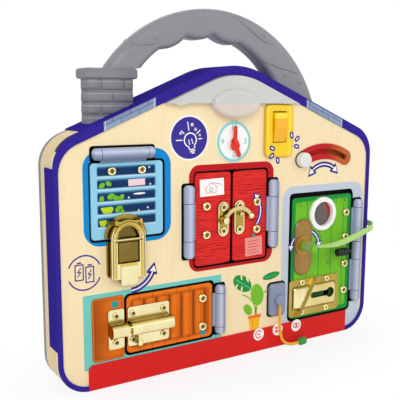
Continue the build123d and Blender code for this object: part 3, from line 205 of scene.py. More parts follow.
def mesh_of(data: bpy.types.Curve) -> bpy.types.Mesh:
    """Turn a curve or a text into a mesh."""
    holder = link(data.name, data)
    bpy.context.view_layer.update()
    mesh = bpy.data.meshes.new_from_object(holder.evaluated_get(bpy.context.evaluated_depsgraph_get()))
    bpy.data.objects.remove(holder)
    return mesh


def bmesh_of(data: bpy.types.Curve) -> bmesh.types.BMesh:
    """Turn a curve or a text into an editable mesh."""
    mesh = mesh_of(data)
    bm = bmesh.new()
    bm.from_mesh(mesh)
    bpy.data.meshes.remove(mesh)
    return bm


def spline_curve(name: str, places: Sequence[Vector], resolution: int = 12) -> bpy.types.Curve:
    """Draw one open, smooth line.

    Args:
        name: The curve's name.
        places: The points that pull the line, which starts and ends on the first and the last.
        resolution: How many steps each stretch is drawn in.

    Returns:
        The curve, without thickness.
    """
    curve = bpy.data.curves.new(name, "CURVE")
    curve.dimensions = "3D"
    curve.use_fill_caps = True
    spline = curve.splines.new("NURBS")
    spline.points.add(len(places) - 1)
    for point, place in zip(spline.points, places):
        point.co = (*place, 1.0)
    spline.order_u = 3
    spline.use_endpoint_u = True
    spline.resolution_u = resolution
    return curve


def add_node(tree: bpy.types.NodeTree, kind: str, inputs: dict | None = None, **settings) -> bpy.types.Node:
    """Add a node with its settings, values and links.

    Args:
        tree: The tree that takes the node.
        kind: The node's type name.
        inputs: Values, sockets or fields by input name or number.
        **settings: Properties of the node.

    Returns:
        The new node.
    """
    node = tree.nodes.new(kind)
    for name, value in settings.items():
        setattr(node, name, value)
    for key, value in (inputs or {}).items():
        value = value.socket if isinstance(value, Field) else value
        if isinstance(value, bpy.types.NodeSocket):
            tree.links.new(value, node.inputs[key])
        else:
            node.inputs[key].default_value = value
    return node


@dataclass(frozen=True)
class Field:
    """A number that varies over a surface: the output of a node, combined with others by plain arithmetic."""

    tree: bpy.types.NodeTree
    socket: bpy.types.NodeSocket

    def join(self, operation: str, *others: "Field | float") -> "Field":
        """Combine this number with others in one maths node."""
        node = add_node(self.tree, "ShaderNodeMath", dict(enumerate((self, *others))), operation=operation)
        return Field(self.tree, node.outputs[0])

    def __add__(self, other: "Field | float") -> "Field":
        return self.join("ADD", other)

    def __sub__(self, other: "Field | float") -> "Field":
        return self.join("SUBTRACT", other)

    def __rsub__(self, other: float) -> "Field":
        return self.join("MULTIPLY_ADD", -1.0, other)

    def __mul__(self, other: "Field | float") -> "Field":
        return self.join("MULTIPLY", other)

    def __abs__(self) -> "Field":
        return self.join("ABSOLUTE")

    def __lt__(self, other: "Field | float") -> "Field":
        return self.join("LESS_THAN", other)

    def __gt__(self, other: "Field | float") -> "Field":
        return self.join("GREATER_THAN", other)

    def wave(self, length: float) -> "Field":
        """Run up and down again between zero and half a length."""
        return self.join("PINGPONG", length / 2)

    def mapped(self, start: float, end: float, low: float = 0.0, high: float = 1.0,
               kind: str = "LINEAR") -> "Field":
        """Run from low to high while this number goes from start to end, and stay level outside."""
        node = add_node(self.tree, "ShaderNodeMapRange", {0: self, 1: start, 2: end, 3: low, 4: high},
                        interpolation_type=kind)
        return Field(self.tree, node.outputs[0])

    def below(self, reach: float = 0.0, blur_mm: float = 0.15) -> "Field":
        """Give a mask that is one where this distance is below reach."""
        return self.mapped(reach + blur_mm, reach - blur_mm)

    def ramp(self, start: float, end: float, share: float = 1.0) -> "Field":
        """Give a mask that grows softly from zero to a share while this number goes from start to end."""
        return self.mapped(start, end, 0.0, share, "SMOOTHSTEP")


class Surface:
    """A material under construction: its tree, its place in millimetres and its running colour."""

    def __init__(self, name: str, colour: Tone) -> None:
        """Start a material with one plain colour."""
        self.material = bpy.data.materials.new(name)
        self.material.use_nodes = True
        self.tree = self.material.node_tree
        self.tree.nodes.clear()
        metres = add_node(self.tree, "ShaderNodeTexCoord").outputs["Object"]
        self.place = self.vector("MULTIPLY", metres, (1 / MM,) * 3)
        axes = add_node(self.tree, "ShaderNodeSeparateXYZ", {0: self.place}).outputs
        self.x, self.y, self.z = (Field(self.tree, axis) for axis in axes)
        self.depth = self.y + BOARD_MIDDLE
        self.colour = add_node(self.tree, "ShaderNodeRGB").outputs[0]
        self.colour.default_value = linear(colour.value)

    def vector(self, operation: str, first: bpy.types.NodeSocket | Triple,
               second: Sequence[float] = (0, 0, 0), output: int | str = 0) -> bpy.types.NodeSocket:
        """Combine two vectors and give the result's socket."""
        node = add_node(self.tree, "ShaderNodeVectorMath", {0: first, 1: second}, operation=operation)
        return node.outputs[output]

    def noise(self, patches: Sequence[float], detail: float = 2.0) -> Field:
        """Give cloudy noise from zero to one, by how many clouds a millimetre holds along X, Y and Z."""
        spread = self.vector("MULTIPLY", self.place, patches)
        noise = add_node(self.tree, "ShaderNodeTexNoise", {"Vector": spread, "Scale": 1.0, "Detail": detail})
        return Field(self.tree, noise.outputs[0])

    def tint(self, colour: Tone | bpy.types.NodeSocket, mask: Field | float) -> None:
        """Lay a colour over the running one where the mask is one."""
        shade = linear(colour.value) if isinstance(colour, Tone) else colour
        mix = add_node(self.tree, "ShaderNodeMix", {0: mask, 6: self.colour, 7: shade}, data_type="RGBA")
        self.colour = mix.outputs[2]

    def fade(self, amount: float, scale_mm: float, stretch: Sequence[float] = (1, 1, 1)) -> Field:
        """Let the colour wander a little, as ink and pigment do.

        Args:
            amount: How far the value may move, as a share.
            scale_mm: The size of the clouds.
            stretch: How the clouds are squeezed along X, Y and Z.

        Returns:
            The noise from zero to one.
        """
        noise = self.noise([squeeze / scale_mm for squeeze in stretch], 5.0)
        value = noise.mapped(0.3, 0.7, 1 - amount, 1 + amount)
        self.colour = add_node(self.tree, "ShaderNodeHueSaturation",
                               {"Value": value, "Color": self.colour}).outputs[0]
        return noise

    def relief(self, height: Field, depth_mm: float) -> bpy.types.NodeSocket:
        """Turn a height from zero to one into a bumped normal."""
        return add_node(self.tree, "ShaderNodeBump", {"Height": height, "Distance": depth_mm * MM,
                                                      "Strength": 1.0}).outputs[0]

    def facing(self, way: Sequence[float]) -> Field:
        """Tell how far the piece's own surface faces a direction of the board."""
        normal = add_node(self.tree, "ShaderNodeTexCoord").outputs["Normal"]
        return Field(self.tree, self.vector("DOT_PRODUCT", normal, way, "Value"))

    def patch(self, left: float, right: float, low: float, high: float, radius: float = 0.5) -> Field:
        """Give the distance outside a rounded patch of the board's face, in millimetres."""
        flat = self.vector("MULTIPLY", self.place, (1, 0, 1))
        middle = ((left + right) / 2, 0, (low + high) / 2)
        away = self.vector("ABSOLUTE", self.vector("SUBTRACT", flat, middle))
        core = ((right - left) / 2 - radius, 0, (high - low) / 2 - radius)
        beyond = self.vector("MAXIMUM", self.vector("SUBTRACT", away, core))
        return Field(self.tree, self.vector("LENGTH", beyond, output="Value")) - radius

    def stamp(self, rows: Iterable[tuple[Tone, Patch]], within: Field | float = 1.0) -> None:
        """Fill rounded patches with their colours, where a mask is one."""
        for tone, patch in rows:
            self.tint(tone, self.patch(*patch).below() * within)

    def close(self, roughness: float | Field, normal: bpy.types.NodeSocket | None = None,
              **sockets) -> bpy.types.Material:
        """Finish the material with one principled shader.

        Args:
            roughness: The shader's roughness.
            normal: A bumped normal, where the surface has relief.
            **sockets: Other sockets of the shader, with underscores for spaces; None leaves one alone.

        Returns:
            The finished material.
        """
        inputs = {"Base Color": self.colour, "Roughness": roughness, "Normal": normal}
        inputs.update({key.replace("_", " "): value for key, value in sockets.items()})
        known = {key: value for key, value in inputs.items() if value is not None}
        shader = add_node(self.tree, "ShaderNodeBsdfPrincipled", known)
        add_node(self.tree, "ShaderNodeOutputMaterial", {"Surface": shader.outputs[0]})
        return self.material


@dataclass(frozen=True)
class Finish:
    """A named finish that builds its material once."""

    name: str
    colour: Tone

    def build(self, surface: Surface) -> bpy.types.Material:
        """Build the finish's material on a surface that has its plain colour."""
        raise NotImplementedError

    def material(self) -> bpy.types.Material:
        """Give the finish's material, built on first use."""
        return bpy.data.materials.get(self.name) or self.build(Surface(self.name, self.colour))


@dataclass(frozen=True)
class MouldedAbs(Finish):
    """Injection-moulded ABS with the faint orange peel of its mould."""

    # The peel breaks up the highlights, so a plain colour still reads as plastic.
    roughness: float = 0.32
    gloss: float = 0.5
    peel_mm: float = 1.2

    def build(self, surface: Surface) -> bpy.types.Material:
        """Build the plastic."""
        spread = surface.fade(0.03, 25.0).mapped(0, 1, self.roughness - 0.05, self.roughness + 0.08)
        peel = surface.noise((1 / self.peel_mm,) * 3)
        return surface.close(spread, surface.relief(peel, 0.02), Specular_IOR_Level=self.gloss, IOR=1.53)


@dataclass(frozen=True)
class Painted(Finish):
    """A finish with a pattern of its own, over which the colour drifts a little and lifts a fine relief."""

    roughness: float = 0.32
    gloss: float = 0.5
    ior: float | None = 1.53
    broad: float = 0.0
    drift: Point = (0.02, 25.0)
    stretch: Triple = (1, 1, 1)
    bump_mm: float = 0.02

    def paint(self, surface: Surface) -> None:
        """Lay the pattern over the plain colour."""

    def build(self, surface: Surface) -> bpy.types.Material:
        """Paint the surface and close it."""
        self.paint(surface)
        if self.broad:
            surface.fade(self.broad, 60.0)
        normal = surface.relief(surface.fade(*self.drift, self.stretch), self.bump_mm)
        return surface.close(self.roughness, normal, Specular_IOR_Level=self.gloss, IOR=self.ior)


@dataclass(frozen=True)
class HingeAbs(Painted):
    """Satin moulded ABS of the hinge barrels, with a painted highlight and painted shade on each barrel and their
    flat roots painted black as the shade of the gap round the door.
    """

    # A painted highlight on the crown and painted shade on the flank make the slim barrels look round in flat light.
    roughness: float = 0.4
    gloss: float = 0.4
    ior: float | None = None
    bump_mm: float = 0.03

    def paint(self, surface: Surface) -> None:
        """Paint a highlight and shade across each barrel, and paint everything behind the barrels' front black as
        the shade of the gap.
        """
        sides = list(RED_HINGE_SIDES)
        sides += [reach_of([node])[:2] for node in ("orange_hinge_base", "green_hinge_base")]
        barrels = [(surface.x, side, -1.0) for side in sides]
        barrels.append((surface.z, reach_of(["flap_hinge_base"])[2:], 1.0))
        for axis, (start, end), light in barrels:
            half = (end - start) / 2
            away = axis * (light / half) - light * (start / half + 1)
            inside = abs(away) < 1.6
            surface.tint(Tone.PALE_LILAC, abs(away - 0.35).below(0.25, 0.3) * inside * 0.8)
            surface.tint(Tone.STEEL_BLUE, away.ramp(0.35, -0.7) * inside)
        # Painted shade: the flat roots behind the barrels are black, as the dark gap round the door.
        surface.tint(Tone.INK, 1.0 - surface.depth.below(-0.2, 0.5))


@dataclass(frozen=True)
class StreakedAbs(Painted):
    """Grey ABS of the chimney, moulded as bricks with fine streaks."""

    # The matt mould texture scatters light, so only the upper edges of the bricks look bright, from a painted
    # highlight; their lower parts and the chimney's right side carry painted shade.
    gloss: float = 0.25
    ior: float | None = None
    drift: Point = (0.06, 9.0)
    stretch: Triple = (0.3, 0.3, 6.0)
    bump_mm: float = 0.15
    top: float = 227.0
    course: float = 8.6
    joint: float = 1.4

    def paint(self, surface: Surface) -> None:
        """Paint a highlight on each brick's upper edge, and shade on its lower part and on the chimney's right side.
        """
        wall = surface.z < self.top
        fall = (self.top - surface.z).join("MODULO", self.course)
        # Painted shade on each brick's lower part, a painted highlight under each joint, and painted shade towards
        # the right side.
        surface.tint(Tone.SHADE_GREY, fall.ramp(self.course * 0.45, self.course - self.joint) * wall * 0.35)
        surface.tint(Tone.FRAME_GREY, abs(fall - (self.joint + 0.5)).below(0.35, 0.25) * wall * 0.4)
        surface.tint(Tone.SHADE_GREY, surface.x.ramp(-104.0, -84.0, 0.35))


@dataclass(frozen=True)
class ClockAbs(Painted):
    """White ABS of the dial, with the red head of the pin that carries the hands."""

    # A smooth dial keeps a clean white, and the red pin stands out against it.
    drift: Point = (0.02, 9.0)
    pin_depth: float = -2.0

    def paint(self, surface: Surface) -> None:
        """Colour the pin."""
        surface.tint(Tone.HAND_RED, surface.depth < self.pin_depth)


@dataclass(frozen=True)
class SwitchAbs(Painted):
    """Glossy ABS of the light switch, with painted shade along its edges and in the rocker's well, and a painted
    highlight on the rocker's upper part.
    """

    # The ochre along the edges and the amber in the rocker's well are painted shade; the rocker's upper part carries
    # a painted highlight.
    gloss: float = 0.4
    box: Patch = (28.9, 58.3, 165.4, 208.9, 5.0)
    rim: float = 1.0
    well: Box = (36.4, 50.8, 177.5, 203.3)
    bands: Point = (31.6, 54.2)
    highlight_from: float = 210.0

    def paint(self, surface: Surface) -> None:
        """Lay the plate's lighter bands, the painted shade along its edges and in the well, and the painted
        highlight above a height.
        """
        for band in self.bands:
            surface.tint(Tone.BRIGHT_YELLOW, abs(surface.x - band).below(0.9, 0.8))
        # Painted shade: ochre along the edges and amber in the well; then a painted highlight on the upper part.
        surface.tint(Tone.OCHRE, (1.0 - surface.patch(*self.box).below(-self.rim, 0.5)) * 0.75)
        surface.tint(Tone.AMBER, surface.patch(*self.well).below())
        surface.tint(Tone.BRIGHT_YELLOW, surface.z.ramp(self.highlight_from - 0.8, self.highlight_from + 0.8))


@dataclass(frozen=True)
class TrackAbs(Painted):
    """Red ABS of the slider's track, printed over towards its right end in rusty brown."""

    # The matt print keeps its red full from every side, and a dark crescent of painted shade, where the slot's gap
    # shows beside the knob, rounds off its left end.
    roughness: float = 0.45
    gloss: float = 0.2
    drift: Point = (0.03, 9.0)
    end: Box = (69.7, 162.1, 6.8, 1.4)

    def paint(self, surface: Surface) -> None:
        """Print the rust, and paint the crescent of shade."""
        surface.tint(Tone.RUST, surface.x.ramp(99.0, 115.0))
        # Painted shade: a black crescent at the left end, standing in for the slot's gap beside the knob.
        x, z, radius, rim = self.end
        outside = surface.patch(x - radius, x + radius, z - radius, z + radius, radius)
        surface.tint(Tone.INK, (surface.x < x) * (outside > -rim))


@dataclass(frozen=True)
class LacqueredPly(Painted):
    """Birch plywood, printed and sealed with a satin lacquer."""

    # The long grain is just felt through the ink, in the gloss more than in the colour.
    roughness: float = 0.5
    gloss: float = 0.15
    ior: float | None = None
    broad: float = 0.02
    drift: Point = (0.02, 2.2)
    stretch: Triple = (1, 1, 0.04)

    def cut(self, surface: Surface, start: float, tone: Tone) -> None:
        """Paint a door's cut edges from some depth on, dark as the shade of the gap round the closed door, and leave
        its back as bare birch.
        """
        # Painted shade: the cut edges take a dark tone.
        surface.tint(tone, surface.depth > start)
        surface.tint(Tone.PLY, surface.facing((0, 1, 0)) > 0.8)


@dataclass(frozen=True)
class HousePrint(LacqueredPly):
    """The front panel's print: coloured frames round the doors on a cream wall."""

    # A thin black band round each opening, a printed outline and painted shade of the gap that a door closes; the
    # openings' walls are painted black as shade.
    outline_mm: float = 0.6
    gap_mm: float = 1.0
    fixed: Patch = (-123.2, -98.2, 21.3, 68.6, 2.5)
    plank_mm: float = 8.5

    def panel(self, surface: Surface) -> None:
        """Print the fixed orange panel with its planks and its pull."""
        fixed = surface.patch(*self.fixed)
        across = (surface.x - (self.fixed[0] - self.plank_mm / 2)).wave(self.plank_mm)
        surface.tint(Tone.DARK_ORANGE, fixed.below(self.outline_mm))
        surface.tint(Tone.ORANGE, fixed.below())
        surface.tint(Tone.DARK_ORANGE, across.ramp(3.2, 0.0, 0.9) * fixed.below(-3.0, 0.5))
        surface.tint(Tone.DARK_ORANGE, fixed.below(-1.0, 0.5) * surface.x.ramp(-108.0, -122.0, 0.65))
        surface.tint(Tone.DARK_ORANGE, abs(fixed + 1.6).below(0.2, 1.2) * fixed.below())
        surface.stamp([(Tone.TEAL_DEEP, (-108.4, -102.4, 60.0, 65.6, 2.7))])

    def paint(self, surface: Surface) -> None:
        """Print the frames, the teal field and the fixed panel, and paint the gaps and the openings' walls dark as
        shade.
        """
        surface.stamp(((Tone.TEAL, (-130.2, -11.4, 15.9, 72.6, 0.5)),
                       (Tone.BLUE, (-128.3, -57.7, 107.6, 177.0, 13.0)),
                       (Tone.DEEP_RED, (-41.8, 40.0, 77.8, 162.5, 9.0)),
                       (Tone.FRAME_GREY, (50.0, 143.6, -20.0, 139.6, 12.0))))
        self.panel(surface)
        door, hinge, anchor = 4.2, 2.6, 4.0
        pieces = {door: ("blue_flap", "red_door_left red_door_right", "orange_door", "green_door"),
                  hinge: ("flap_hinge_base", "orange_hinge_base", "green_hinge_base"),
                  anchor: ("chain_anchor",)}
        zones = [(reach_of(nodes.split()), radius) for radius, rows in pieces.items() for nodes in rows]
        zones += [((*side, *RED_HINGE_HEIGHTS), hinge) for side in RED_HINGE_SIDES]
        # Painted shade: black round each door and hinge, over the printed outline and the gap.
        margin = self.gap_mm + self.outline_mm
        surface.stamp([(Tone.INK, (left - margin, right + margin, low - margin, high + margin, radius))
                       for (left, right, low, high), radius in zones])
        # Painted shade: the openings' walls are black, with lighter colours behind the slider's slot and the switch
        # to lift that shade.
        behind = surface.depth > 0.3
        surface.stamp([(Tone.INK, (-146, 146, 6, 215, 20)), *WALL_GAPS], behind)


@dataclass(frozen=True)
class RoomPrint(LacqueredPly):
    """The picture board: a small plain scene behind each door on a black ground that is painted shade for the gaps.
    """

    # The black ground is painted shade for the gaps round the closed doors, so only the open doors show a picture.
    front: float = 6.2

    def paint(self, surface: Surface) -> None:
        """Print a night sky, two rooms and a garden behind the doors."""
        front = surface.depth < self.front
        # Painted shade: the front of the picture board is black.
        surface.tint(Tone.INK, front)
        surface.stamp([(Tone.NAVY, (-119, -68, 116, 164, 3)), (Tone.AMBER, (-32, 29, 87, 151, 3)),
                       (Tone.TEAL, (-91, -25, 27, 63, 3)), (Tone.PALE_BLUE, (66, 124, 27, 124, 3)),
                       *WALL_GAPS], front)


@dataclass(frozen=True)
class PlankPrint(LacqueredPly):
    """A door printed as upright planks with dark joints and a shaded rim."""

    # The joints wobble by half a millimetre, so the planks look drawn by hand.
    rim: Tone = Tone.DARK_LEAF
    groove: Tone = Tone.DARK_LEAF
    box: Box = (60.2, 130.0, 21.2, 129.8)
    plank_mm: float = 14.2
    rim_mm: float = 4.2
    line_mm: float = 0.42
    shade_mm: float = 0.3
    soft_mm: float = 0.0
    outline_mm: float = 0.7

    def inset(self, surface: Surface, inset: float, radius: float) -> Field:
        """Give the distance outside the door's outline, moved inwards."""
        left, right, low, high = self.box
        return surface.patch(left + inset, right - inset, low + inset, high - inset, radius)

    def paint(self, surface: Surface) -> None:
        """Print the rim, the joints and a thin dark outline."""
        inner = self.inset(surface, self.rim_mm, 2.4)
        shift = surface.noise((1 / 11.0,) * 3) * 1.4 - 0.7
        across = (surface.x + shift - (self.box[0] + self.rim_mm - 0.5)).wave(self.plank_mm)
        surface.tint(self.rim, 1.0 - (inner + shift).below())
        if self.soft_mm:
            surface.tint(self.groove, across.ramp(self.soft_mm, 0.0, 0.85) * inner.below(0.0, 0.5))
            surface.tint(self.groove, abs(inner - 0.6).ramp(1.6, 0.0, 0.5))
        surface.tint(self.groove, across.below(self.line_mm, self.shade_mm) * inner.below())
        surface.tint(self.groove, abs(inner + 0.4).below(0.2, self.shade_mm / 2) * 0.8)
        surface.tint(Tone.INK, 1.0 - self.inset(surface, self.outline_mm, 3.6).below())
        self.cut(surface, 0.9, Tone.INK)


@dataclass(frozen=True)
class WavyPrint(LacqueredPly):
    """A red door printed with thin dark waves, like sawn boards."""

    # The waves swell and break off, as a half-dry brush leaves them.
    wave_mm: float = 1.05

    def paint(self, surface: Surface) -> None:
        """Print the waves."""
        across = (surface.noise((0.045, 1, 0.1), 1.5) * 6.0 + surface.z).wave(2 * self.wave_mm)
        width = surface.noise((0.09, 1, 0.5)) * 1.7 - 0.62
        surface.tint(Tone.DRY_RED, (across - width).below(0.0, 0.1) * 0.85)
        self.cut(surface, 0.9, Tone.INK)


@dataclass(frozen=True)
class LouvrePrint(LacqueredPly):
    """The blue shutter: pale blue slats round night-blue slots with a soft dark rim."""

    # A light line under each slot and a soft one over it make the flat print look slatted.
    first_mm: float = 161.6
    pitch_mm: float = 9.2
    slots: int = 5

    def paint(self, surface: Surface) -> None:
        """Print the slots, and paint the flap's cut edges navy as shade."""
        rows = ((Tone.SLAT_LIGHT, -117.0, -71.4, -4.2, -3.0, 0.4, 0.3),
                (Tone.SLAT_BLUE, -117.4, -70.8, -3.0, 3.7, 1.0, 0.6),
                (Tone.NAVY, -117.2, -71.2, -3.2, 2.4, 1.0, 0.6))
        for slot in range(self.slots):
            z = self.first_mm - slot * self.pitch_mm
            for tone, left, right, low, high, radius, blur in rows:
                surface.tint(tone, surface.patch(left, right, z + low, z + high, radius).below(0.0, blur))
        self.cut(surface, 1.3, Tone.NAVY)


@dataclass(frozen=True)
class BrickTrim(Painted):
    """Indigo moulded trim with a brick print wrapped over the eaves on both sides."""

    # The soft-touch moulding has no gloss, so its indigo stays full where it faces the sky.
    roughness: float = 0.8
    gloss: float = 0.0
    ior: float | None = None
    drift: Point = (0.03, 25.0)
    brick_mm: float = 14.0
    course_mm: float = 3.9
    margin_mm: float = 0.9
    ridge: float = 244.2
    slope_degrees: float = 22.6
    strips: tuple[Point, ...] = ((-112.0, -70.5), (73.0, 114.5))

    def paint(self, surface: Surface) -> None:
        """Print the bricks along both eaves, on the front only."""
        drop = self.ridge - abs(surface.x) * math.tan(math.radians(self.slope_degrees)) - surface.z
        place = add_node(surface.tree, "ShaderNodeCombineXYZ", {0: surface.x, 1: drop}).outputs[0]
        brick = add_node(surface.tree, "ShaderNodeTexBrick", {
            "Vector": place, "Scale": 1.0, "Brick Width": self.brick_mm, "Row Height": self.course_mm,
            "Mortar Size": 0.3, "Mortar Smooth": 0.4, "Color1": linear(Tone.SLATE.value),
            "Color2": linear(Tone.BRICK_BLUE.value), "Mortar": linear(Tone.BRICK_LINE.value)}).outputs[0]
        face = (surface.depth < 0.3) * (drop > self.margin_mm)
        for left, right in self.strips:
            half = (right - left) / 2
            away = abs(surface.x - (left + right) / 2)
            inside = (away < half) * face
            surface.tint(brick, inside)
            surface.tint(Tone.FRAME_GREY, abs(away - (half - 1.2)).below(0.4, 0.2) * inside)


@dataclass(frozen=True)
class BrassZone:
    """A patch of the board, between two distances in front of it, where the brass is painted darker by a share, as
    painted shade and painted reflection.
    """

    patch: Patch
    share: float
    near: float
    far: float


@dataclass(frozen=True)
class PlatedBrass(Finish):
    """Pressed steel with bright brass plating, faintly scratched by handling."""

    # Its colour runs from cream over gold to brown as painted reflection and painted shade, as a mirror's does where
    # a pressing faces light or shade.
    colour: Tone = Tone.BRASS_LIGHT
    middle: Tone = Tone.BRASS
    deep: Tone = Tone.BRASS_DEEP
    roughness: float = 0.14
    plain_share: float = 0.08
    side_share: float = 0.75
    wander: float = 0.3
    brace: Box = (58.0, 90.0, 22.0, 59.0)
    brace_front: float = -3.05
    zones: tuple[BrassZone, ...] = (
        BrassZone((-114.0, -78.0, 110.0, 131.0, 1.0), 0.78, 0.0, 3.0),
        BrassZone((-107.4, -84.6, 117.0, 128.0, 0.5), 0.5, 1.2, 9.0),
        BrassZone((-114.0, -78.0, 70.0, 110.0, 2.0), 0.6, 0.0, 3.2),
        BrassZone((-105.2, -86.8, 94.0, 111.0, 0.5), 0.94, 3.2, 5.9),
        BrassZone((-106.0, -86.0, 111.8, 122.4, 9.0), 1.0, 0.0, 3.2),
        BrassZone((58.0, 88.9, 22.0, 58.0, 0.5), 0.8, 3.1, 4.2),
        BrassZone((58.0, 117.0, 22.0, 58.0, 0.5), 0.66, 0.0, 1.3),
        BrassZone((76.0, 112.0, 30.5, 50.0, 0.5), 0.3, 1.3, 3.2),
        BrassZone((-16.0, 11.0, 103.0, 133.0, 1.0), 0.66, 0.0, 1.5),
        BrassZone((-16.0, 18.0, 103.0, 133.0, 1.0), 0.3, 1.5, 6.0),
    )

    def build(self, surface: Surface) -> bpy.types.Material:
        """Build the plating, drawn along one way, with painted shade where a pressing is sunk and painted reflection
        where it faces aside or mirrors its surroundings.
        """
        cloud = surface.noise((1 / 14.0,) * 3, 1.0)
        out = 0.0 - surface.depth
        shade: Field | float = self.plain_share
        # Painted shade and painted reflection: each zone darkens the brass by its share, and faces turned from the
        # front darken too.
        for zone in self.zones:
            layer = (out > zone.near) * (out < zone.far) * zone.share
            shade = (surface.patch(*zone.patch).below(0.0, 0.3) * layer).join("MAXIMUM", shade)
        turned = surface.facing((0.0, -1.0, -0.3)).ramp(0.9, 0.1, self.side_share)
        spread = cloud * self.wander + (turned.join("MAXIMUM", shade) - self.wander / 2)
        surface.tint(self.middle, spread.mapped(0.0, 0.5))
        surface.tint(self.deep, spread.mapped(0.5, 1.0))
        dull = surface.patch(*self.brace).below() * (surface.depth < self.brace_front)
        rough = surface.noise((0.3, 2.0, 4.0), 6.0).mapped(0.3, 0.7, self.roughness, self.roughness + 0.08)
        return surface.close(rough.join("MAXIMUM", dull * 0.5), surface.relief(cloud, 0.06), Metallic=1.0)


@dataclass(frozen=True)
class ZincSteel(Finish):
    """Zinc-plated steel screws on the back."""

    # The passivated zinc is satin and slightly cloudy, so it looks grey rather than mirrored.
    colour: Tone = Tone.ZINC

    def build(self, surface: Surface) -> bpy.types.Material:
        """Build the plating."""
        return surface.close(surface.fade(0.06, 2.0).mapped(0, 1, 0.24, 0.42), Metallic=1.0)


@dataclass(frozen=True)
class KeyBody(Finish):
    """A green moulded key end with a crimped bright ferrule in the middle of its length."""

    # The crimps catch the light as fine bright rings between two plain green ends.
    ferrule: Point = (-13.3, -8.5)
    crimp_mm: float = 1.8

    def build(self, surface: Surface) -> bpy.types.Material:
        """Build the two-part key."""
        metal = (surface.depth > self.ferrule[0]) * (surface.depth < self.ferrule[1])
        surface.tint(Tone.ZINC, metal)
        return surface.close(0.3, surface.relief(surface.y.wave(self.crimp_mm) * metal, 0.4), Metallic=metal)


@dataclass(frozen=True)
class MilkyShade(Finish):
    """Milky polycarbonate over the lights, smooth and a little see-through."""

    # Light spreads inside it, so it looks soft; the warm tint on its lower half is painted, standing in for the wood
    # behind seen through it.
    roughness: float = 0.28
    eave: float = 209.4

    def build(self, surface: Surface) -> bpy.types.Material:
        """Build the shade."""
        # Painted light: a warm tint on the lower half for the cream wood seen through the shade.
        surface.tint(Tone.WARM_HAZE, surface.z.ramp(self.eave + 0.6, self.eave - 0.6))
        surface.fade(0.02, 18.0)
        return surface.close(self.roughness, None, Subsurface_Weight=0.5,
                             Subsurface_Radius=(0.004, 0.004, 0.004))


@dataclass(frozen=True)
class SmokedSheet(Finish):
    """Smoked acrylic in the porthole, with a red curtain's edge showing through at the right."""

    # Its polished face gives a sharp reflection over a dim, uneven brown.
    x: float = 94.9
    z: float = 113.3

    def build(self, surface: Surface) -> bpy.types.Material:
        """Build the sheet."""
        edge = surface.noise((1 / 8.0,) * 3) * -4.0 + ((surface.z - self.z) * 0.35 + (surface.x - self.x))
        surface.tint(Tone.DRY_RED, edge.mapped(2.6, 6.4))
        surface.fade(0.12, 6.0)
        return surface.close(0.1, None, Specular_IOR_Level=0.5, IOR=1.49, Coat_Weight=0.3)


@dataclass(frozen=True)
class WovenBand(Finish):
    """A woven polyester band with fine cross ribs along it."""

    # The ribs are drawn about twice as coarse as the real weave, so that they show in the render.
    rib_mm: float = 1.0

    def build(self, surface: Surface) -> bpy.types.Material:
        """Build the weave from the band's own UV map, in millimetres."""
        uv = add_node(surface.tree, "ShaderNodeUVMap", uv_map="UVMap").outputs[0]
        axes = add_node(surface.tree, "ShaderNodeSeparateXYZ", {0: uv}).outputs
        ribs = [Field(surface.tree, axes[axis]).wave(self.rib_mm) for axis in range(2)]
        height = (ribs[0] + ribs[1]) * (1 / self.rib_mm)
        # Painted shade: a deeper green in the low places of the weave.
        surface.tint(Tone.LEAF, 0.35 - height * 0.35)
        return surface.close(0.8, surface.relief(height, 0.3), Sheen_Weight=0.3)


@dataclass(frozen=True)
class BraidedCord(Finish):
    """A braided cotton cord: two crossing sets of strands, matt and slightly fuzzy."""

    # The dark diamonds between the strands tell a braid from a plain rod.
    strand_mm: float = 1.3

    def build(self, surface: Surface) -> bpy.types.Material:
        """Build the braid."""
        strands = (surface.x + surface.z).wave(self.strand_mm) * (surface.z - surface.x).wave(self.strand_mm)
        surface.tint(Tone.DARK_ORANGE, strands * 0.8)
        return surface.close(0.85, surface.relief(strands, 0.5), Sheen_Weight=0.25)


@dataclass(frozen=True)
class GoldPrint(Finish):
    """A printed gold lock plate: brown-gold ink under a gloss varnish, lighter towards its boss."""

    # Bronze powder in the ink gives a dull gleam, well short of plated metal.
    plate: Patch = (63.9, 82.9, 60.5, 110.5, 9.0)
    boss_front: float = -1.6

    def build(self, surface: Surface) -> bpy.types.Material:
        """Build the print."""
        streak = surface.fade(0.14, 5.0, (1.6, 1, 0.12))
        surface.tint(Tone.UMBER, (1.0 - surface.patch(*self.plate).below(-1.6, 1.4)) * 0.5)
        surface.tint(Tone.AMBER, (surface.depth < self.boss_front) * 0.15)
        return surface.close(0.3, surface.relief(streak, 0.05), Metallic=0.35, Coat_Weight=0.3)


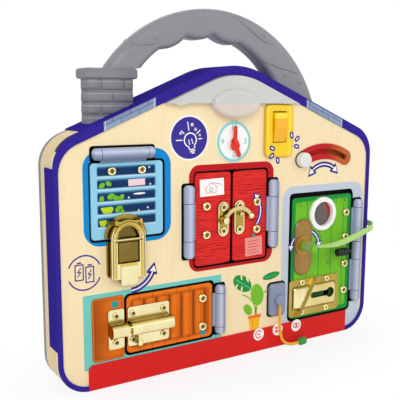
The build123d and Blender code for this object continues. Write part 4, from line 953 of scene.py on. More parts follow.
FINISHES: dict[str, Finish] = {
    "panel_wood": HousePrint("house_print_on_birch", Tone.CREAM),
    "picture_wood": RoomPrint("room_print_on_birch", Tone.PLY),
    "core_wood": LacqueredPly("sanded_birch_core", Tone.PLY),
    "back_wood": LacqueredPly("grey_painted_back", Tone.BACK_GREY, roughness=0.55),
    "trim_indigo": BrickTrim("indigo_trim_with_brick_print", Tone.INDIGO),
    "band_red": MouldedAbs("red_foot_band", Tone.BAND_RED, roughness=0.5, gloss=0.15),
    "smoke_grey": MouldedAbs("smoke_grey_abs", Tone.SMOKE, roughness=0.45),
    "brick_grey": StreakedAbs("brick_moulded_grey_abs", Tone.SMOKE, roughness=0.55),
    "screw_steel": ZincSteel("zinc_plated_steel"),
    "lamp_milk": MilkyShade("milky_lamp_shade", Tone.HAZE),
    "board_green": MouldedAbs("green_circuit_board", Tone.DARK_LEAF),
    "clock_white": ClockAbs("white_clock_face", Tone.WHITE),
    "hand_red": MouldedAbs("red_clock_hands", Tone.HAND_RED, gloss=0.25),
    "switch_yellow": SwitchAbs("yellow_switch_plate", Tone.YELLOW),
    "rocker_yellow": SwitchAbs("amber_rocker", Tone.AMBER, highlight_from=197.6, rim=-9.0),
    "track_red": TrackAbs("red_slider_track", Tone.DEEP_RED),
    "knob_white": MouldedAbs("white_slider_knob", Tone.MILK),
    "hinge_lilac": HingeAbs("lilac_hinge_abs", Tone.LILAC),
    # The brass finishes are lit and shaded copies of one plating: warm for painted reflections on the hasp, shadow
    # for painted shade lines, pale for painted highlights on rims and rings.
    "brass": PlatedBrass("bright_plated_brass"),
    "warm_brass": PlatedBrass("warm_plated_brass", Tone.WARM_BRASS_LIGHT, middle=Tone.WARM_BRASS,
                              deep=Tone.WARM_BRASS_DEEP, plain_share=0.38, zones=()),
    "shadow_brass": PlatedBrass("shadowed_plated_brass", Tone.DIM_BRASS_LIGHT, middle=Tone.DIM_BRASS,
                                deep=Tone.DIM_BRASS_DEEP, zones=()),
    "pale_brass": PlatedBrass("pale_plated_brass", plain_share=0.0, wander=0.1, zones=()),
    "lock_gold": GoldPrint("gold_lock_print", Tone.GOLD_PRINT),
    "flap_blue": LouvrePrint("louvre_print_on_birch", Tone.PALE_BLUE),
    "door_red": WavyPrint("wavy_red_print_on_birch", Tone.DOOR_RED),
    "gate_orange": PlankPrint("orange_plank_print", Tone.ORANGE, rim=Tone.ORANGE, groove=Tone.DARK_ORANGE,
                              box=(-96.2, -19.8, 22.6, 67.7), plank_mm=10.9, rim_mm=4.4, line_mm=0.5,
                              shade_mm=0.35, soft_mm=3.6, outline_mm=0.35),
    "door_green": PlankPrint("green_plank_print", Tone.LEAF),
    "ring_white": MouldedAbs("white_porthole_ring", Tone.WHITE),
    "lens_clear": SmokedSheet("smoked_porthole_sheet", Tone.UMBER),
    "key_green": KeyBody("green_key_with_ferrule", Tone.LEAF),
    "strap_green": WovenBand("green_woven_band", Tone.PALE_LEAF),
    "toggle_black": MouldedAbs("black_rubber_toggle", Tone.INK, roughness=0.6),
    "anchor_grey": MouldedAbs("slate_anchor_block", Tone.SLATE, roughness=0.5),
    "cord_orange": BraidedCord("orange_braided_cord", Tone.AMBER),
    "bead_green": MouldedAbs("green_bead", Tone.DARK_LEAF),
    "strap_eye": MouldedAbs("green_crimped_strap_end", Tone.LEAF, roughness=0.6),
    "battery_grey": MouldedAbs("dark_battery_box", Tone.INK, roughness=0.5),
}


def publish(bm: bmesh.types.BMesh, name: str, finish: Finish, body: str,
            smooth: bool = False) -> bpy.types.Object:
    """Make an object of a finished mesh and let it ride on a body.

    Args:
        bm: The mesh, in metres, in the frame of the CAD.
        name: The piece's name.
        finish: The finish that it takes.
        body: The body that carries it.
        smooth: Whether its faces are shaded as one round form.

    Returns:
        The new piece.
    """
    for face in bm.faces:
        face.smooth = smooth
    mesh = bpy.data.meshes.new(name)
    bm.to_mesh(mesh)
    bm.free()
    piece = link(name, mesh)
    mesh.materials.append(finish.material())
    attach(piece, body)
    log.info("%s: %d faces on %s", name, len(mesh.polygons), body)
    return piece


@dataclass
class PrintLayer:
    """Flat shapes of one colour on a body's face, a hair above what they are printed on."""

    name: str
    tone: Tone
    depth: float = 0.0
    body: str = BOARD_BODY
    thickness: float = INK_MM
    roughness: float = 0.45
    surface: str | None = None
    bm: bmesh.types.BMesh = field(default_factory=bmesh.new)

    def _lift(self, verts: Iterable[bmesh.types.BMVert], x: float, z: float, turn: float) -> "PrintLayer":
        """Turn flat shapes in their plane and carry them to a place of the face."""
        spin = Matrix.Rotation(math.radians(turn), 4, "Z")
        place = Matrix.Translation((x, self.depth, z)) @ UPRIGHT @ spin
        bmesh.ops.transform(self.bm, matrix=place, verts=list(verts))
        return self

    def add(self, mark: Callable[..., "PrintLayer"], rows: Iterable[Sequence]) -> "PrintLayer":
        """Add one kind of mark several times, each by a row of its values."""
        for row in rows:
            mark(self, *row)
        return self

    def disc(self, x: float, z: float, half_x: float, half_z: float | None = None,
             turn: float = 0.0) -> "PrintLayer":
        """Add a filled circle or ellipse."""
        made = bmesh.ops.create_circle(self.bm, cap_ends=True, segments=40, radius=1.0)["verts"]
        bmesh.ops.scale(self.bm, vec=(half_x, half_x if half_z is None else half_z, 1), verts=made)
        return self._lift(made, x, z, turn)

    def shape(self, corners: Sequence[Point], rounding: float = 0.0, turn: float = 0.0,
              place: Point = (0.0, 0.0)) -> "PrintLayer":
        """Add a filled outline of a few corners, each rounded by the same radius."""
        before = set(self.bm.verts)
        made = [self.bm.verts.new((x, z, 0)) for x, z in corners]
        self.bm.faces.new(made)
        if rounding > 0:
            bmesh.ops.bevel(self.bm, geom=made, offset=rounding, affect="VERTICES", segments=6, profile=0.5,
                            material=-1)
            made = [vert for vert in self.bm.verts if vert not in before]
        return self._lift(made, *place, turn)

    def slab(self, x: float, z: float, width: float, height: float, rounding: float = 0.0,
             turn: float = 0.0) -> "PrintLayer":
        """Add a rounded rectangle round a middle."""
        w, h = width / 2, height / 2
        return self.shape(((-w, -h), (w, -h), (w, h), (-w, h)), rounding, turn, (x, z))

    def stroke(self, start: Point, end: Point, width: float) -> "PrintLayer":
        """Add a round-ended line."""
        (x0, z0), (x1, z1) = start, end
        length = math.hypot(x1 - x0, z1 - z0) + width
        turn = math.degrees(math.atan2(z1 - z0, x1 - x0))
        return self.slab((x0 + x1) / 2, (z0 + z1) / 2, length, width, width * 0.49, turn)

    def path(self, points: Sequence[Point], width: float) -> "PrintLayer":
        """Add round-ended lines from point to point."""
        return self.add(PrintLayer.stroke, ((*pair, width) for pair in zip(points, points[1:])))

    def dash(self, middle: Point, half: Vector, width: float) -> "PrintLayer":
        """Add a round-ended line by its middle and half its length."""
        return self.stroke(tuple(Vector(middle) - half), tuple(Vector(middle) + half), width)

    def arc(self, x: float, z: float, radius: float, width: float, start: float = 0,
            end: float = 360) -> "PrintLayer":
        """Add a round band between two angles, counted from the right against the clock."""
        inner = self.bm.verts.new((radius - width / 2, 0, 0))
        outer = self.bm.verts.new((radius + width / 2, 0, 0))
        edge = self.bm.edges.new((inner, outer))
        begin = Matrix.Rotation(math.radians(start), 3, "Z")
        bmesh.ops.rotate(self.bm, verts=[inner, outer], cent=(0, 0, 0), matrix=begin)
        steps = max(6, round(abs(end - start) / 6))
        before = set(self.bm.verts)
        bmesh.ops.spin(self.bm, geom=[inner, outer, edge], cent=(0, 0, 0), axis=(0, 0, 1),
                       angle=math.radians(end - start), steps=steps, use_duplicate=False)
        return self._lift([vert for vert in self.bm.verts if vert not in before] + [inner, outer], x, z, 0)

    def stadium(self, left: float, right: float, low: float, high: float, inset: float,
                width: float) -> "PrintLayer":
        """Add a line round an upright round-ended outline, some way inside it."""
        radius = (right - left) / 2 - inset - width / 2
        middle = (left + right) / 2
        top, foot = high - (right - left) / 2, low + (right - left) / 2
        self.arc(middle, top, radius, width, 0, 180)
        self.arc(middle, foot, radius, width, 180, 360)
        for side in (-1, 1):
            self.slab(middle + side * radius, (top + foot) / 2, width, top - foot)
        return self

    def head(self, tip: Point, direction: float, length: float, half_width: float) -> "PrintLayer":
        """Add an arrow head whose tip points in a direction, in degrees from the right."""
        corners = ((0, 0), (-length, half_width), (-length, -half_width))
        return self.shape(corners, length * 0.12, direction, tip)

    def finish(self) -> bpy.types.Object:
        """Give the ink its thickness and hand it to its body.

        Returns:
            The printed layer.
        """
        bmesh.ops.recalc_face_normals(self.bm, faces=self.bm.faces)
        made = bmesh.ops.extrude_face_region(self.bm, geom=list(self.bm.faces))["geom"]
        bmesh.ops.translate(self.bm, vec=(0, -self.thickness, 0),
                            verts=[item for item in made if isinstance(item, bmesh.types.BMVert)])
        bmesh.ops.recalc_face_normals(self.bm, faces=self.bm.faces)
        bmesh.ops.translate(self.bm, vec=(0, -BOARD_MIDDLE, 0), verts=self.bm.verts)
        bmesh.ops.scale(self.bm, vec=(MM, MM, MM), verts=self.bm.verts)
        ink = MouldedAbs(f"ink_{self.tone.name.lower()}", self.tone, roughness=self.roughness, gloss=0.2)
        return publish(self.bm, self.name, FINISHES[self.surface] if self.surface else ink, self.body)


@dataclass
class ArrowPrint:
    """A white arrow with an indigo rim along an arc, as drawn beside a latch to show how it moves."""

    name: str
    body: str = BOARD_BODY
    shaft: float = 1.05
    rim: float = 1.85
    head_length: float = 4.8
    head_half: float = 2.8

    def bow(self, x: float, z: float, radius: float, start: float, end: float, both: bool = False) -> None:
        """Build the arrow with a head at its end or at both ends."""
        sense = 1 if end > start else -1
        ends = [(end, sense)] + ([(start, -sense)] if both else [])
        for part, tone, depth, grow in (("rim", Tone.INDIGO, 0.0, self.rim),
                                        ("fill", Tone.WHITE, -INK_MM, 0.0)):
            layer = PrintLayer(f"{self.name}_{part}", tone, depth, self.body)
            layer.arc(x, z, radius, self.shaft + 2 * grow, start, end)
            for angle, way in ends:
                lead = math.degrees(self.head_length / radius) * 0.9 * way
                tip = Vector((x, z)) + along(angle + lead + math.degrees(grow * 1.6 / radius) * way, radius)
                layer.head(tuple(tip), angle + lead / 2 + 90 * way, self.head_length + 2.6 * grow,
                           self.head_half + 1.3 * grow)
            layer.finish()


@dataclass
class WallPrints:
    """Small prints on the cream wall: lamp sign, cells, hints beside the latches and a potted plant."""

    plate_front: float = -2.4

    def lamp_sign(self) -> None:
        """Print the round lamp sign."""
        x, z, radius, lean = -41.5, 183.6, 17.3, 14
        PrintLayer("lamp_sign_ring", Tone.WHITE).disc(x, z, radius).finish()
        PrintLayer("lamp_sign_ground", Tone.INDIGO, -INK_MM).disc(x, z, radius - 1.3).finish()
        lines = PrintLayer("lamp_sign_bulb", Tone.WHITE, -2 * INK_MM)
        bulb, glass = Vector((x + 0.8, z - 1.6)), 5.3
        across, up = along(lean), along(lean + 90)
        lines.arc(*bulb, glass, 1.0, -58 + lean, 238 + lean)
        # Each row: the sideways and upward place of both ends from the bulb's middle, and the width.
        rows = [(side * 2.8, -4.5, side * 2.1, -7.2, 1.0) for side in (-1, 1)]
        rows += [(side * 1.5, -3.2, side * 1.3, 0.4, 0.7) for side in (-1, 1)]
        rows += [(-2.1, -7.4, 2.1, -7.4, 0.9), (-2.1, -8.8, 2.1, -8.8, 0.9), (-0.9, -10.2, 0.9, -10.2, 0.9)]
        for x0, z0, x1, z1, width in rows:
            lines.stroke(tuple(bulb + across * x0 + up * z0), tuple(bulb + across * x1 + up * z1), width)
        for angle, near, far in ((180, 2.0, 7.0), (138, 2.2, 5.2), (100, 2.2, 8.6), (40, 2.0, 6.0),
                                 (5, 2.2, 5.0)):
            ray = along(angle)
            lines.stroke(tuple(bulb + ray * (glass + near)), tuple(bulb + ray * (glass + far)), 0.8)
        for star_x, star_z, size in ((1.6, 11.6, 1.3), (4.6, 8.0, 1.1), (-8.6, 5.2, 0.9), (8.4, 3.6, 0.7)):
            lines.add(PrintLayer.dash, ((bulb + Vector((star_x, star_z)), along(turn, size), 0.6)
                                        for turn in (0, 60, 120)))
        lines.finish()

    def cells(self) -> None:
        """Print two little upright cells inside a broken ring."""
        ink = PrintLayer("cell_sign", Tone.INDIGO)
        x, z = -128.4, 89.8
        ink.add(PrintLayer.arc, ((x, z, 12.6, 1.1, start, start + 136) for start in (22, 202)))
        for cx, cz in ((x - 4.0, z + 1.0), (x + 4.0, z - 1.2)):
            for side in (-3.0, 3.0):
                ink.stroke((cx + side, cz - 6.0), (cx + side, cz + 5.2), 0.9)
            for level in (-6.0, 5.2):
                ink.stroke((cx - 3.0, cz + level), (cx + 3.0, cz + level), 0.9)
            ink.stroke((cx - 1.2, cz + 6.6), (cx + 1.2, cz + 6.6), 1.1)
            bolt = ((1.1, 2.8), (-1.1, -0.2), (1.1, -0.4), (-1.1, -3.4))
            ink.path([(cx + right, cz + up) for right, up in bolt], 0.8)
        ink.finish()

    def hints(self) -> None:
        """Print the strokes beside the switch and the arrows beside the hasp and the slider."""
        for name, depth, marks in (
                ("wall", 0.0, ((64.4, 180.0, 42), (64.0, 173.6, -14), (44.0, 162.7, 100))),
                ("plate", self.plate_front, ((56.4, 183.3, 100), (36.3, 173.1, -25), (36.0, 166.9, 40)))):
            for part, tone, over, half, width in (("rim", Tone.INDIGO, 0.0, 1.1, 3.9),
                                                  ("fill", Tone.WHITE, INK_MM, 0.9, 1.1)):
                layer = PrintLayer(f"switch_strokes_{name}_{part}", tone, depth - over)
                layer.add(PrintLayer.dash, (((x, z), along(turn, half), width) for x, z, turn in marks))
                layer.finish()
        ArrowPrint("hasp_arrow").bow(-92.6, 91.8, 20.6, -88, -22)
        ArrowPrint("slider_arrow").bow(95.2, 137.0, 20.0, 132, 52, both=True)

    def plant(self) -> None:
        """Print a potted plant with broad leaves."""
        disc, arc, stroke = PrintLayer.disc, PrintLayer.arc, PrintLayer.stroke
        for name, tone, over, mark, rows in (
                ("plant_stems", Tone.LEAF, 0, arc,
                 ((3.5, 32.0, 21.0, 1.1, 0, 72), (43.5, 34.0, 20.0, 1.1, 112, 180),
                  (39.5, 31.0, 16.0, 1.1, 150, 180))),
                ("plant_dark_leaves", Tone.DARK_LEAF, 1, disc,
                 ((9.8, 61.8, 10.4, 6.2, -34), (39.6, 64.4, 9.0, 3.0, 8))),
                ("plant_light_leaves", Tone.LEAF, 2, disc,
                 ((25.0, 50.0, 6.4, 9.6, 14), (15.6, 38.4, 3.6, 5.6, 38))),
                ("plant_leaf_cuts", Tone.CREAM, 3, disc,
                 ((3.6, 60.0, 2.6, 0.8, 62), (9.0, 57.2, 2.6, 0.8, 78), (8.6, 67.4, 2.6, 0.8, 100),
                  (14.6, 64.6, 2.6, 0.8, 118))),
                ("plant_veins", Tone.TEAL, 4, stroke,
                 (((3.0, 66.2), (17.6, 56.6), 0.6), ((33.0, 63.4), (46.0, 65.2), 0.4))),
                ("plant_pot", Tone.AMBER, 2, PrintLayer.shape,
                 ((((-6.2, 12.2), (6.2, 12.2), (4.4, 0), (-4.4, 0)), 0.6, 0.0, (22.6, 20.0)),))):
            PrintLayer(name, tone, -over * INK_MM).add(mark, rows).finish()
        rim = PrintLayer("plant_pot_rim", Tone.ORANGE, -3 * INK_MM)
        rim.slab(22.6, 31.4, 13.6, 2.6, 0.8).stroke((20.6, 28.6), (21.4, 22.0), 0.7).finish()

    def build(self) -> None:
        """Build every print of the wall."""
        self.lamp_sign()
        self.cells()
        self.hints()
        self.plant()


@dataclass
class FootBandPrints:
    """Three plain round signs on the red foot band: a cell, a square of four dots and a pair of rings."""

    centres: tuple[Point, ...] = ((26.7, 15.1), (47.1, 15.7), (67.8, 15.6))
    radius: float = 5.4

    def build(self) -> None:
        """Build the signs."""
        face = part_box("base_band")[0].y / MM + BOARD_MIDDLE
        ground = PrintLayer("foot_signs", Tone.WHITE, face)
        ground.add(PrintLayer.disc, ((*centre, self.radius) for centre in self.centres)).finish()
        (x0, z0), (x1, z1), (x2, z2) = self.centres
        ink = PrintLayer("foot_sign_marks", Tone.BAND_RED, face - INK_MM)
        ink.arc(x0, z0, 3.2, 0.8, 30, 330).stroke((x0 - 1.2, z0), (x0 + 1.2, z0), 1.0)
        ink.add(PrintLayer.slab, ((x1 + side, z1 + level, 2.1, 2.1, 0.4) for side in (-1.5, 1.5)
                                  for level in (-1.5, 1.5)))
        ink.add(PrintLayer.arc, ((x2 + side, z2, 1.9, 0.8, 0, 359) for side in (-1.3, 1.5))).finish()


@dataclass
class ClockPrint:
    """The clock's aqua ring, its four numbers and its two hands."""

    x: float = -1.0
    z: float = 179.7
    radius: float = 16.5
    dial_front: float = -1.2
    number_size: float = 6.48
    number_reach: float = 11.0

    def build(self) -> None:
        """Build the ring and the numbers on the dial, and the two hands over them."""
        ring = PrintLayer("clock_ring", Tone.AQUA, self.dial_front)
        ring.arc(self.x, self.z, self.radius - 1.5, 2.3).finish()
        for text, angle in (("12", 90), ("3", 0), ("6", -90), ("9", 180)):
            self.number(text, Vector((self.x, self.z)) + along(angle, self.number_reach))
        self.hand("hour", 158.5, 11.3, 2.0, 1.8, 3.0, 0.0)
        self.hand("minute", 0.0, 10.8, 1.6, 1.5, 4.1, 3.2)

    def hand(self, body: str, angle: float, reach: float, tip: float, arm: float, hub: float,
             tail: float) -> None:
        """Build one hand in place of its packed blank: a round hub, a tapered arm and a round tip.

        Args:
            body: The body that turns it; its blank has the same first name.
            angle: Degrees with the clock from straight up.
            reach: Millimetres from the pin to the middle of the tip.
            tip: The tip's radius.
            arm: Half the arm's width.
            hub: The hub's radius.
            tail: How far the hub's middle lies behind the pin.
        """
        front, back = (corner.y / MM + BOARD_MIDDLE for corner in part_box(f"{body}_hand"))
        layer = PrintLayer(f"clock_{body}_hand", Tone.DOOR_RED, back, body, thickness=back - front,
                           surface="hand_red")
        outline = []
        for middle, radius, first, last in ((-tail, hub, 90, 450), (reach, tip, -90, 270)):
            gap = math.degrees(math.asin(arm / radius))
            sweep = last - first - 2 * gap
            outline += [Vector((0, middle)) + along(first + gap + sweep * step / 24, radius)
                        for step in range(25)]
        layer.shape(outline)
        bmesh.ops.rotate(layer.bm, verts=layer.bm.verts, cent=(0, 0, 0),
                         matrix=Matrix.Rotation(math.radians(angle), 3, "Y"))
        bmesh.ops.translate(layer.bm, vec=(self.x, 0, self.z), verts=layer.bm.verts)
        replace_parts(layer.finish(), f"{body}_hand")

    def number(self, text: str, middle: Vector) -> None:
        """Build one number as a thin flat piece."""
        curve = bpy.data.curves.new(f"clock_number_{text}", "FONT")
        curve.body = text
        curve.size = self.number_size * MM
        curve.align_x = curve.align_y = "CENTER"
        curve.extrude = INK_MM / 2 * MM
        curve.offset = 0.13 * MM
        bm = bmesh_of(curve)
        place = Matrix.Translation(on_face(middle.x, self.dial_front - INK_MM / 2, middle.y)) @ UPRIGHT
        bmesh.ops.transform(bm, matrix=place, verts=bm.verts)
        publish(bm, f"clock_number_{text}", MouldedAbs("ink_aqua", Tone.AQUA), BOARD_BODY)


@dataclass
class LampSeal:
    """The thin milky lip that closes the joint between the lamp's dome and its housing."""

    x: float = -1.4
    z: float = 209.4
    half_width: float = 22.7
    half_height: float = 12.2
    depth: float = -4.18

    def build(self) -> None:
        """Build the lip over the upper half of the dome."""
        lip = PrintLayer("lamp_seal", Tone.HAZE, self.depth, thickness=0.12, surface="lamp_milk")
        lip.disc(self.x, self.z, self.half_width, self.half_height)
        bmesh.ops.bisect_plane(lip.bm, geom=[*lip.bm.verts, *lip.bm.edges, *lip.bm.faces],
                               plane_co=(0, 0, self.z), plane_no=(0, 0, 1), clear_inner=True)
        lip.finish()


@dataclass
class DoorPrints:
    """Prints on the doors: notes, arrows, knots, leaves and stars."""

    flap_face: float = 1.0
    knots: tuple[tuple[float, float, float], ...] = ((93.0, 91.6, 12), (104.6, 67.4, -8), (122.6, 125.0, 70))

    def notes(self) -> None:
        """Print a note with a drawn house on the left door and a pinned letter on the right one."""
        note = PrintLayer("house_note", Tone.WHITE, 0.0, "left_door")
        note.slab(-20.7, 144.3, 22.4, 13.5, 0.3, 1.5).finish()
        drawing = PrintLayer("house_note_drawing", Tone.CORAL, -INK_MM, "left_door")
        drawing.path(((-27.6, 143.0), (-21.6, 147.8), (-15.0, 144.0)), 0.6)
        drawing.path(((-26.0, 143.6), (-25.8, 139.8), (-17.0, 140.2), (-17.0, 144.6)), 0.6).finish()
        window = PrintLayer("house_note_window", Tone.SLATE, -INK_MM, "left_door")
        window.arc(-21.6, 142.6, 1.4, 0.6, 0, 350)
        window.stroke((-20.6, 148.0), (-12.4, 146.4), 0.5).stroke((-12.4, 146.4), (-11.4, 144.6), 0.4)
        window.finish()
        letter = PrintLayer("pinned_letter", Tone.CORAL, 0.0, "right_door")
        letter.slab(20.6, 92.4, 17.2, 15.6, 0.3, 2.0).finish()
        lines = PrintLayer("pinned_letter_lines", Tone.DEEP_RED, -INK_MM, "right_door")
        for row in range(5):
            lines.stroke((14.6, 96.8 - row * 2.5), (26.0 - (row % 2) * 2.4, 97.2 - row * 2.5), 0.45)
        lines.finish()
        pin = PrintLayer("letter_pin", Tone.TEAL_DEEP, -2 * INK_MM, "right_door", thickness=0.5)
        pin.disc(20.0, 101.6, 1.4).finish()

    def latches(self) -> None:
        """Print the latches' arrows, the slot's shadow, the knots, the grass and the gate's pull."""
        ArrowPrint("hook_arrow", "right_door", 1.0, 1.6, 4.4, 2.6).bow(8.6, 122.0, 18.6, -38, 36)
        ArrowPrint("key_arrow", "front_door", 1.1, 1.4, 4.4, 2.6).bow(76.4, 84.0, 16.0, 168, 12, both=True)
        slot = PrintLayer("slot_shadow", Tone.DEEP_LEAF, 0.0, "front_door")
        slot.slab(92.6, 41.0, 26.0, 7.4, 3.0).disc(104.6, 41.0, 5.4).finish()
        for name, tone, depth, half_x, half_z in (("door_knots", Tone.DARK_LEAF, 0.0, 2.5, 1.5),
                                                  ("door_knot_hearts", Tone.LEAF, -INK_MM, 1.5, 0.7)):
            rows = ((x, z, half_x, half_z, turn) for x, z, turn in self.knots)
            PrintLayer(name, tone, depth, "front_door").add(PrintLayer.disc, rows).finish()
        blades = enumerate((66.2, 68.4, 71.0, 76.8, 81.4, 108.6, 111.4, 117.4, 123.0))
        grass = PrintLayer("door_top_strokes", Tone.DARK_LEAF, 0.0, "front_door")
        grass.add(PrintLayer.stroke, (((x, 126.2), (x + 0.4, 121.8 - 1.4 * (number % 3)), 0.6)
                                      for number, x in blades)).finish()
        PrintLayer("gate_pull", Tone.TEAL_DEEP, 0.0, "gate").disc(-28.6, 27.0, 3.0, 2.2).finish()

    def leaves(self) -> None:
        """Print leaves, a pink ticket and stars in the shutter's slots."""
        green = PrintLayer("shutter_leaves", Tone.LEAF, self.flap_face, "flap")
        leaves = ((-113.4, 151.4, 2.6, 40), (-108.2, 152.6, 2.4, 150), (-113.8, 141.6, 2.6, 80),
                  (-106.4, 143.2, 3.0, 20), (-102.4, 141.6, 2.8, 150), (-98.2, 142.0, 2.6, 50),
                  (-100.4, 133.6, 3.2, 30), (-98.2, 131.8, 2.4, 150), (-108.4, 123.2, 2.0, 60))
        for x, z, half, turn in leaves:
            green.disc(x, z, half, half * 0.7, turn)
        green.finish()
        lime = PrintLayer("shutter_lime_leaves", Tone.LIME, self.flap_face, "flap")
        lime.shape(((-5.2, 2.2), (4.6, 2.6), (5.2, 0.4), (3.4, -2.2), (-2.6, -2.4)), 0.9, 0.0,
                   (-109.8, 133.2))
        lime.shape(((-3.0, 2.6), (3.2, 2.6), (2.4, -0.6), (0.0, -2.8), (-2.4, -0.6)), 0.8, 0.0,
                   (-113.0, 123.6))
        lime.finish()
        ticket = PrintLayer("shutter_ticket", Tone.PINK, self.flap_face, "flap")
        ticket.slab(-85.8, 152.4, 13.6, 5.0, 0.4, 1).finish()
        stars = PrintLayer("shutter_stars", Tone.WHITE, self.flap_face, "flap")
        stars.add(PrintLayer.disc, ((-92.4, 141.4, 0.7), (-76.9, 133.0, 0.7), (-84.4, 131.4, 0.7),
                                    (-75.4, 163.0, 0.7), (-74.6, 150.4, 0.7), (-83.6, 143.9, 5.0, 0.7)))
        stars.finish()

    def build(self) -> None:
        """Build every print of the doors."""
        self.notes()
        self.latches()
        self.leaves()


@dataclass
class ScrewRims:
    """The raised rim of every visible screw head, with a dark disc and a dark cross laid flat over its middle as
    painted shade of the cross recess.
    """

    rim: float = 0.5
    recess_share: float = 0.58
    cross_share: float = 0.34
    cross_width: float = 0.6
    nodes: tuple[tuple[str, str], ...] = (
        ("flap_screws", "flap"), ("red_left_screws", "left_door"), ("red_right_screws", "right_door"),
        ("orange_screws", "gate"), ("green_screws", "front_door"))
    bolt_rows: tuple[tuple[str, str, tuple[float, ...]], ...] = (
        ("bolt_body", "gate", (-91.2, -65.2)), ("bolt_keeper", BOARD_BODY, (-105.0,)))
    bolt_z: float = 43.8
    bolt_rise: float = 10.2
    bolt_head: float = 2.7
    bolt_front: float = -2.1
    bolt_rim: float = 0.12

    def heads(self, node: str) -> list[Box]:
        """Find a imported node's loose screws: the middle, the front and the head's radius of each, in mm."""
        bm = bmesh.new()
        bm.from_mesh(frame["nodes"][node].data)
        bmesh.ops.remove_doubles(bm, verts=bm.verts, dist=1e-6)
        left, found = set(bm.verts), []
        while left:
            island, edge_of = set(), [left.pop()]
            while edge_of:
                vert = edge_of.pop()
                island.add(vert)
                near = {edge.other_vert(vert) for edge in vert.link_edges} & left
                left -= near
                edge_of.extend(near)
            xs, ys, zs = ([vert.co[axis] / MM for vert in island] for axis in range(3))
            found.append(((min(xs) + max(xs)) / 2, (min(zs) + max(zs)) / 2, min(ys) + BOARD_MIDDLE,
                          (max(xs) - min(xs)) / 2))
        bm.free()
        return sorted(found, key=lambda head: (round(head[0], 1), round(head[1], 1)))

    def mark(self, name: str, body: str, heads: Sequence[Box], rim: float) -> None:
        """Build the rims, of a given height, and the flat dark discs and crosses painted as the shade in the
        recesses, of one group of screws.
        """
        bm = bmesh.new()
        for x, z, front, radius in heads:
            inner = radius * self.recess_share
            profile = ((radius * 0.94, 0.0), (radius * 0.86, rim), (inner * 1.25, rim), (inner, 0.0))
            corners = [bm.verts.new((reach * MM, 0, height * MM)) for reach, height in profile]
            edges = [bm.edges.new(pair) for pair in zip(corners, corners[1:])]
            before = set(bm.verts) - set(corners)
            bmesh.ops.spin(bm, geom=corners + edges, cent=(0, 0, 0), axis=(0, 0, 1), angle=math.tau, steps=32,
                           use_merge=True, use_duplicate=False)
            made = [vert for vert in bm.verts if vert not in before]
            bmesh.ops.transform(bm, matrix=Matrix.Translation(on_face(x, front, z)) @ UPRIGHT, verts=made)
        bmesh.ops.recalc_face_normals(bm, faces=bm.faces)
        publish(bm, f"{name}_rims", FINISHES["brass"], body, smooth=True)
        # Painted shade: an olive disc and a bronze cross laid flat over each head stand for the shade in its cross
        # recess.
        ground = PrintLayer(f"{name}_recess", Tone.OLIVE, heads[0][2], body, roughness=0.3)
        cross = PrintLayer(f"{name}_cross", Tone.BRONZE, heads[0][2] - INK_MM, body)
        for number, (x, z, _, radius) in enumerate(heads):
            ground.disc(x, z, radius * self.recess_share * 1.04)
            for turn in (35, 125):
                cross.slab(x, z, 2 * radius * self.cross_share, self.cross_width, 0.2, turn + 40 * number)
        ground.finish()
        cross.finish()

    def build(self) -> None:
        """Mark every door screw and bolt screw."""
        for node, body in self.nodes:
            self.mark(node, body, self.heads(node), self.rim)
        for node, body, xs in self.bolt_rows:
            heads = [(x, self.bolt_z + side * self.bolt_rise, self.bolt_front, self.bolt_head)
                     for x in xs for side in (-1, 1)]
            self.mark(f"{node}_screw", body, heads, self.bolt_rim)


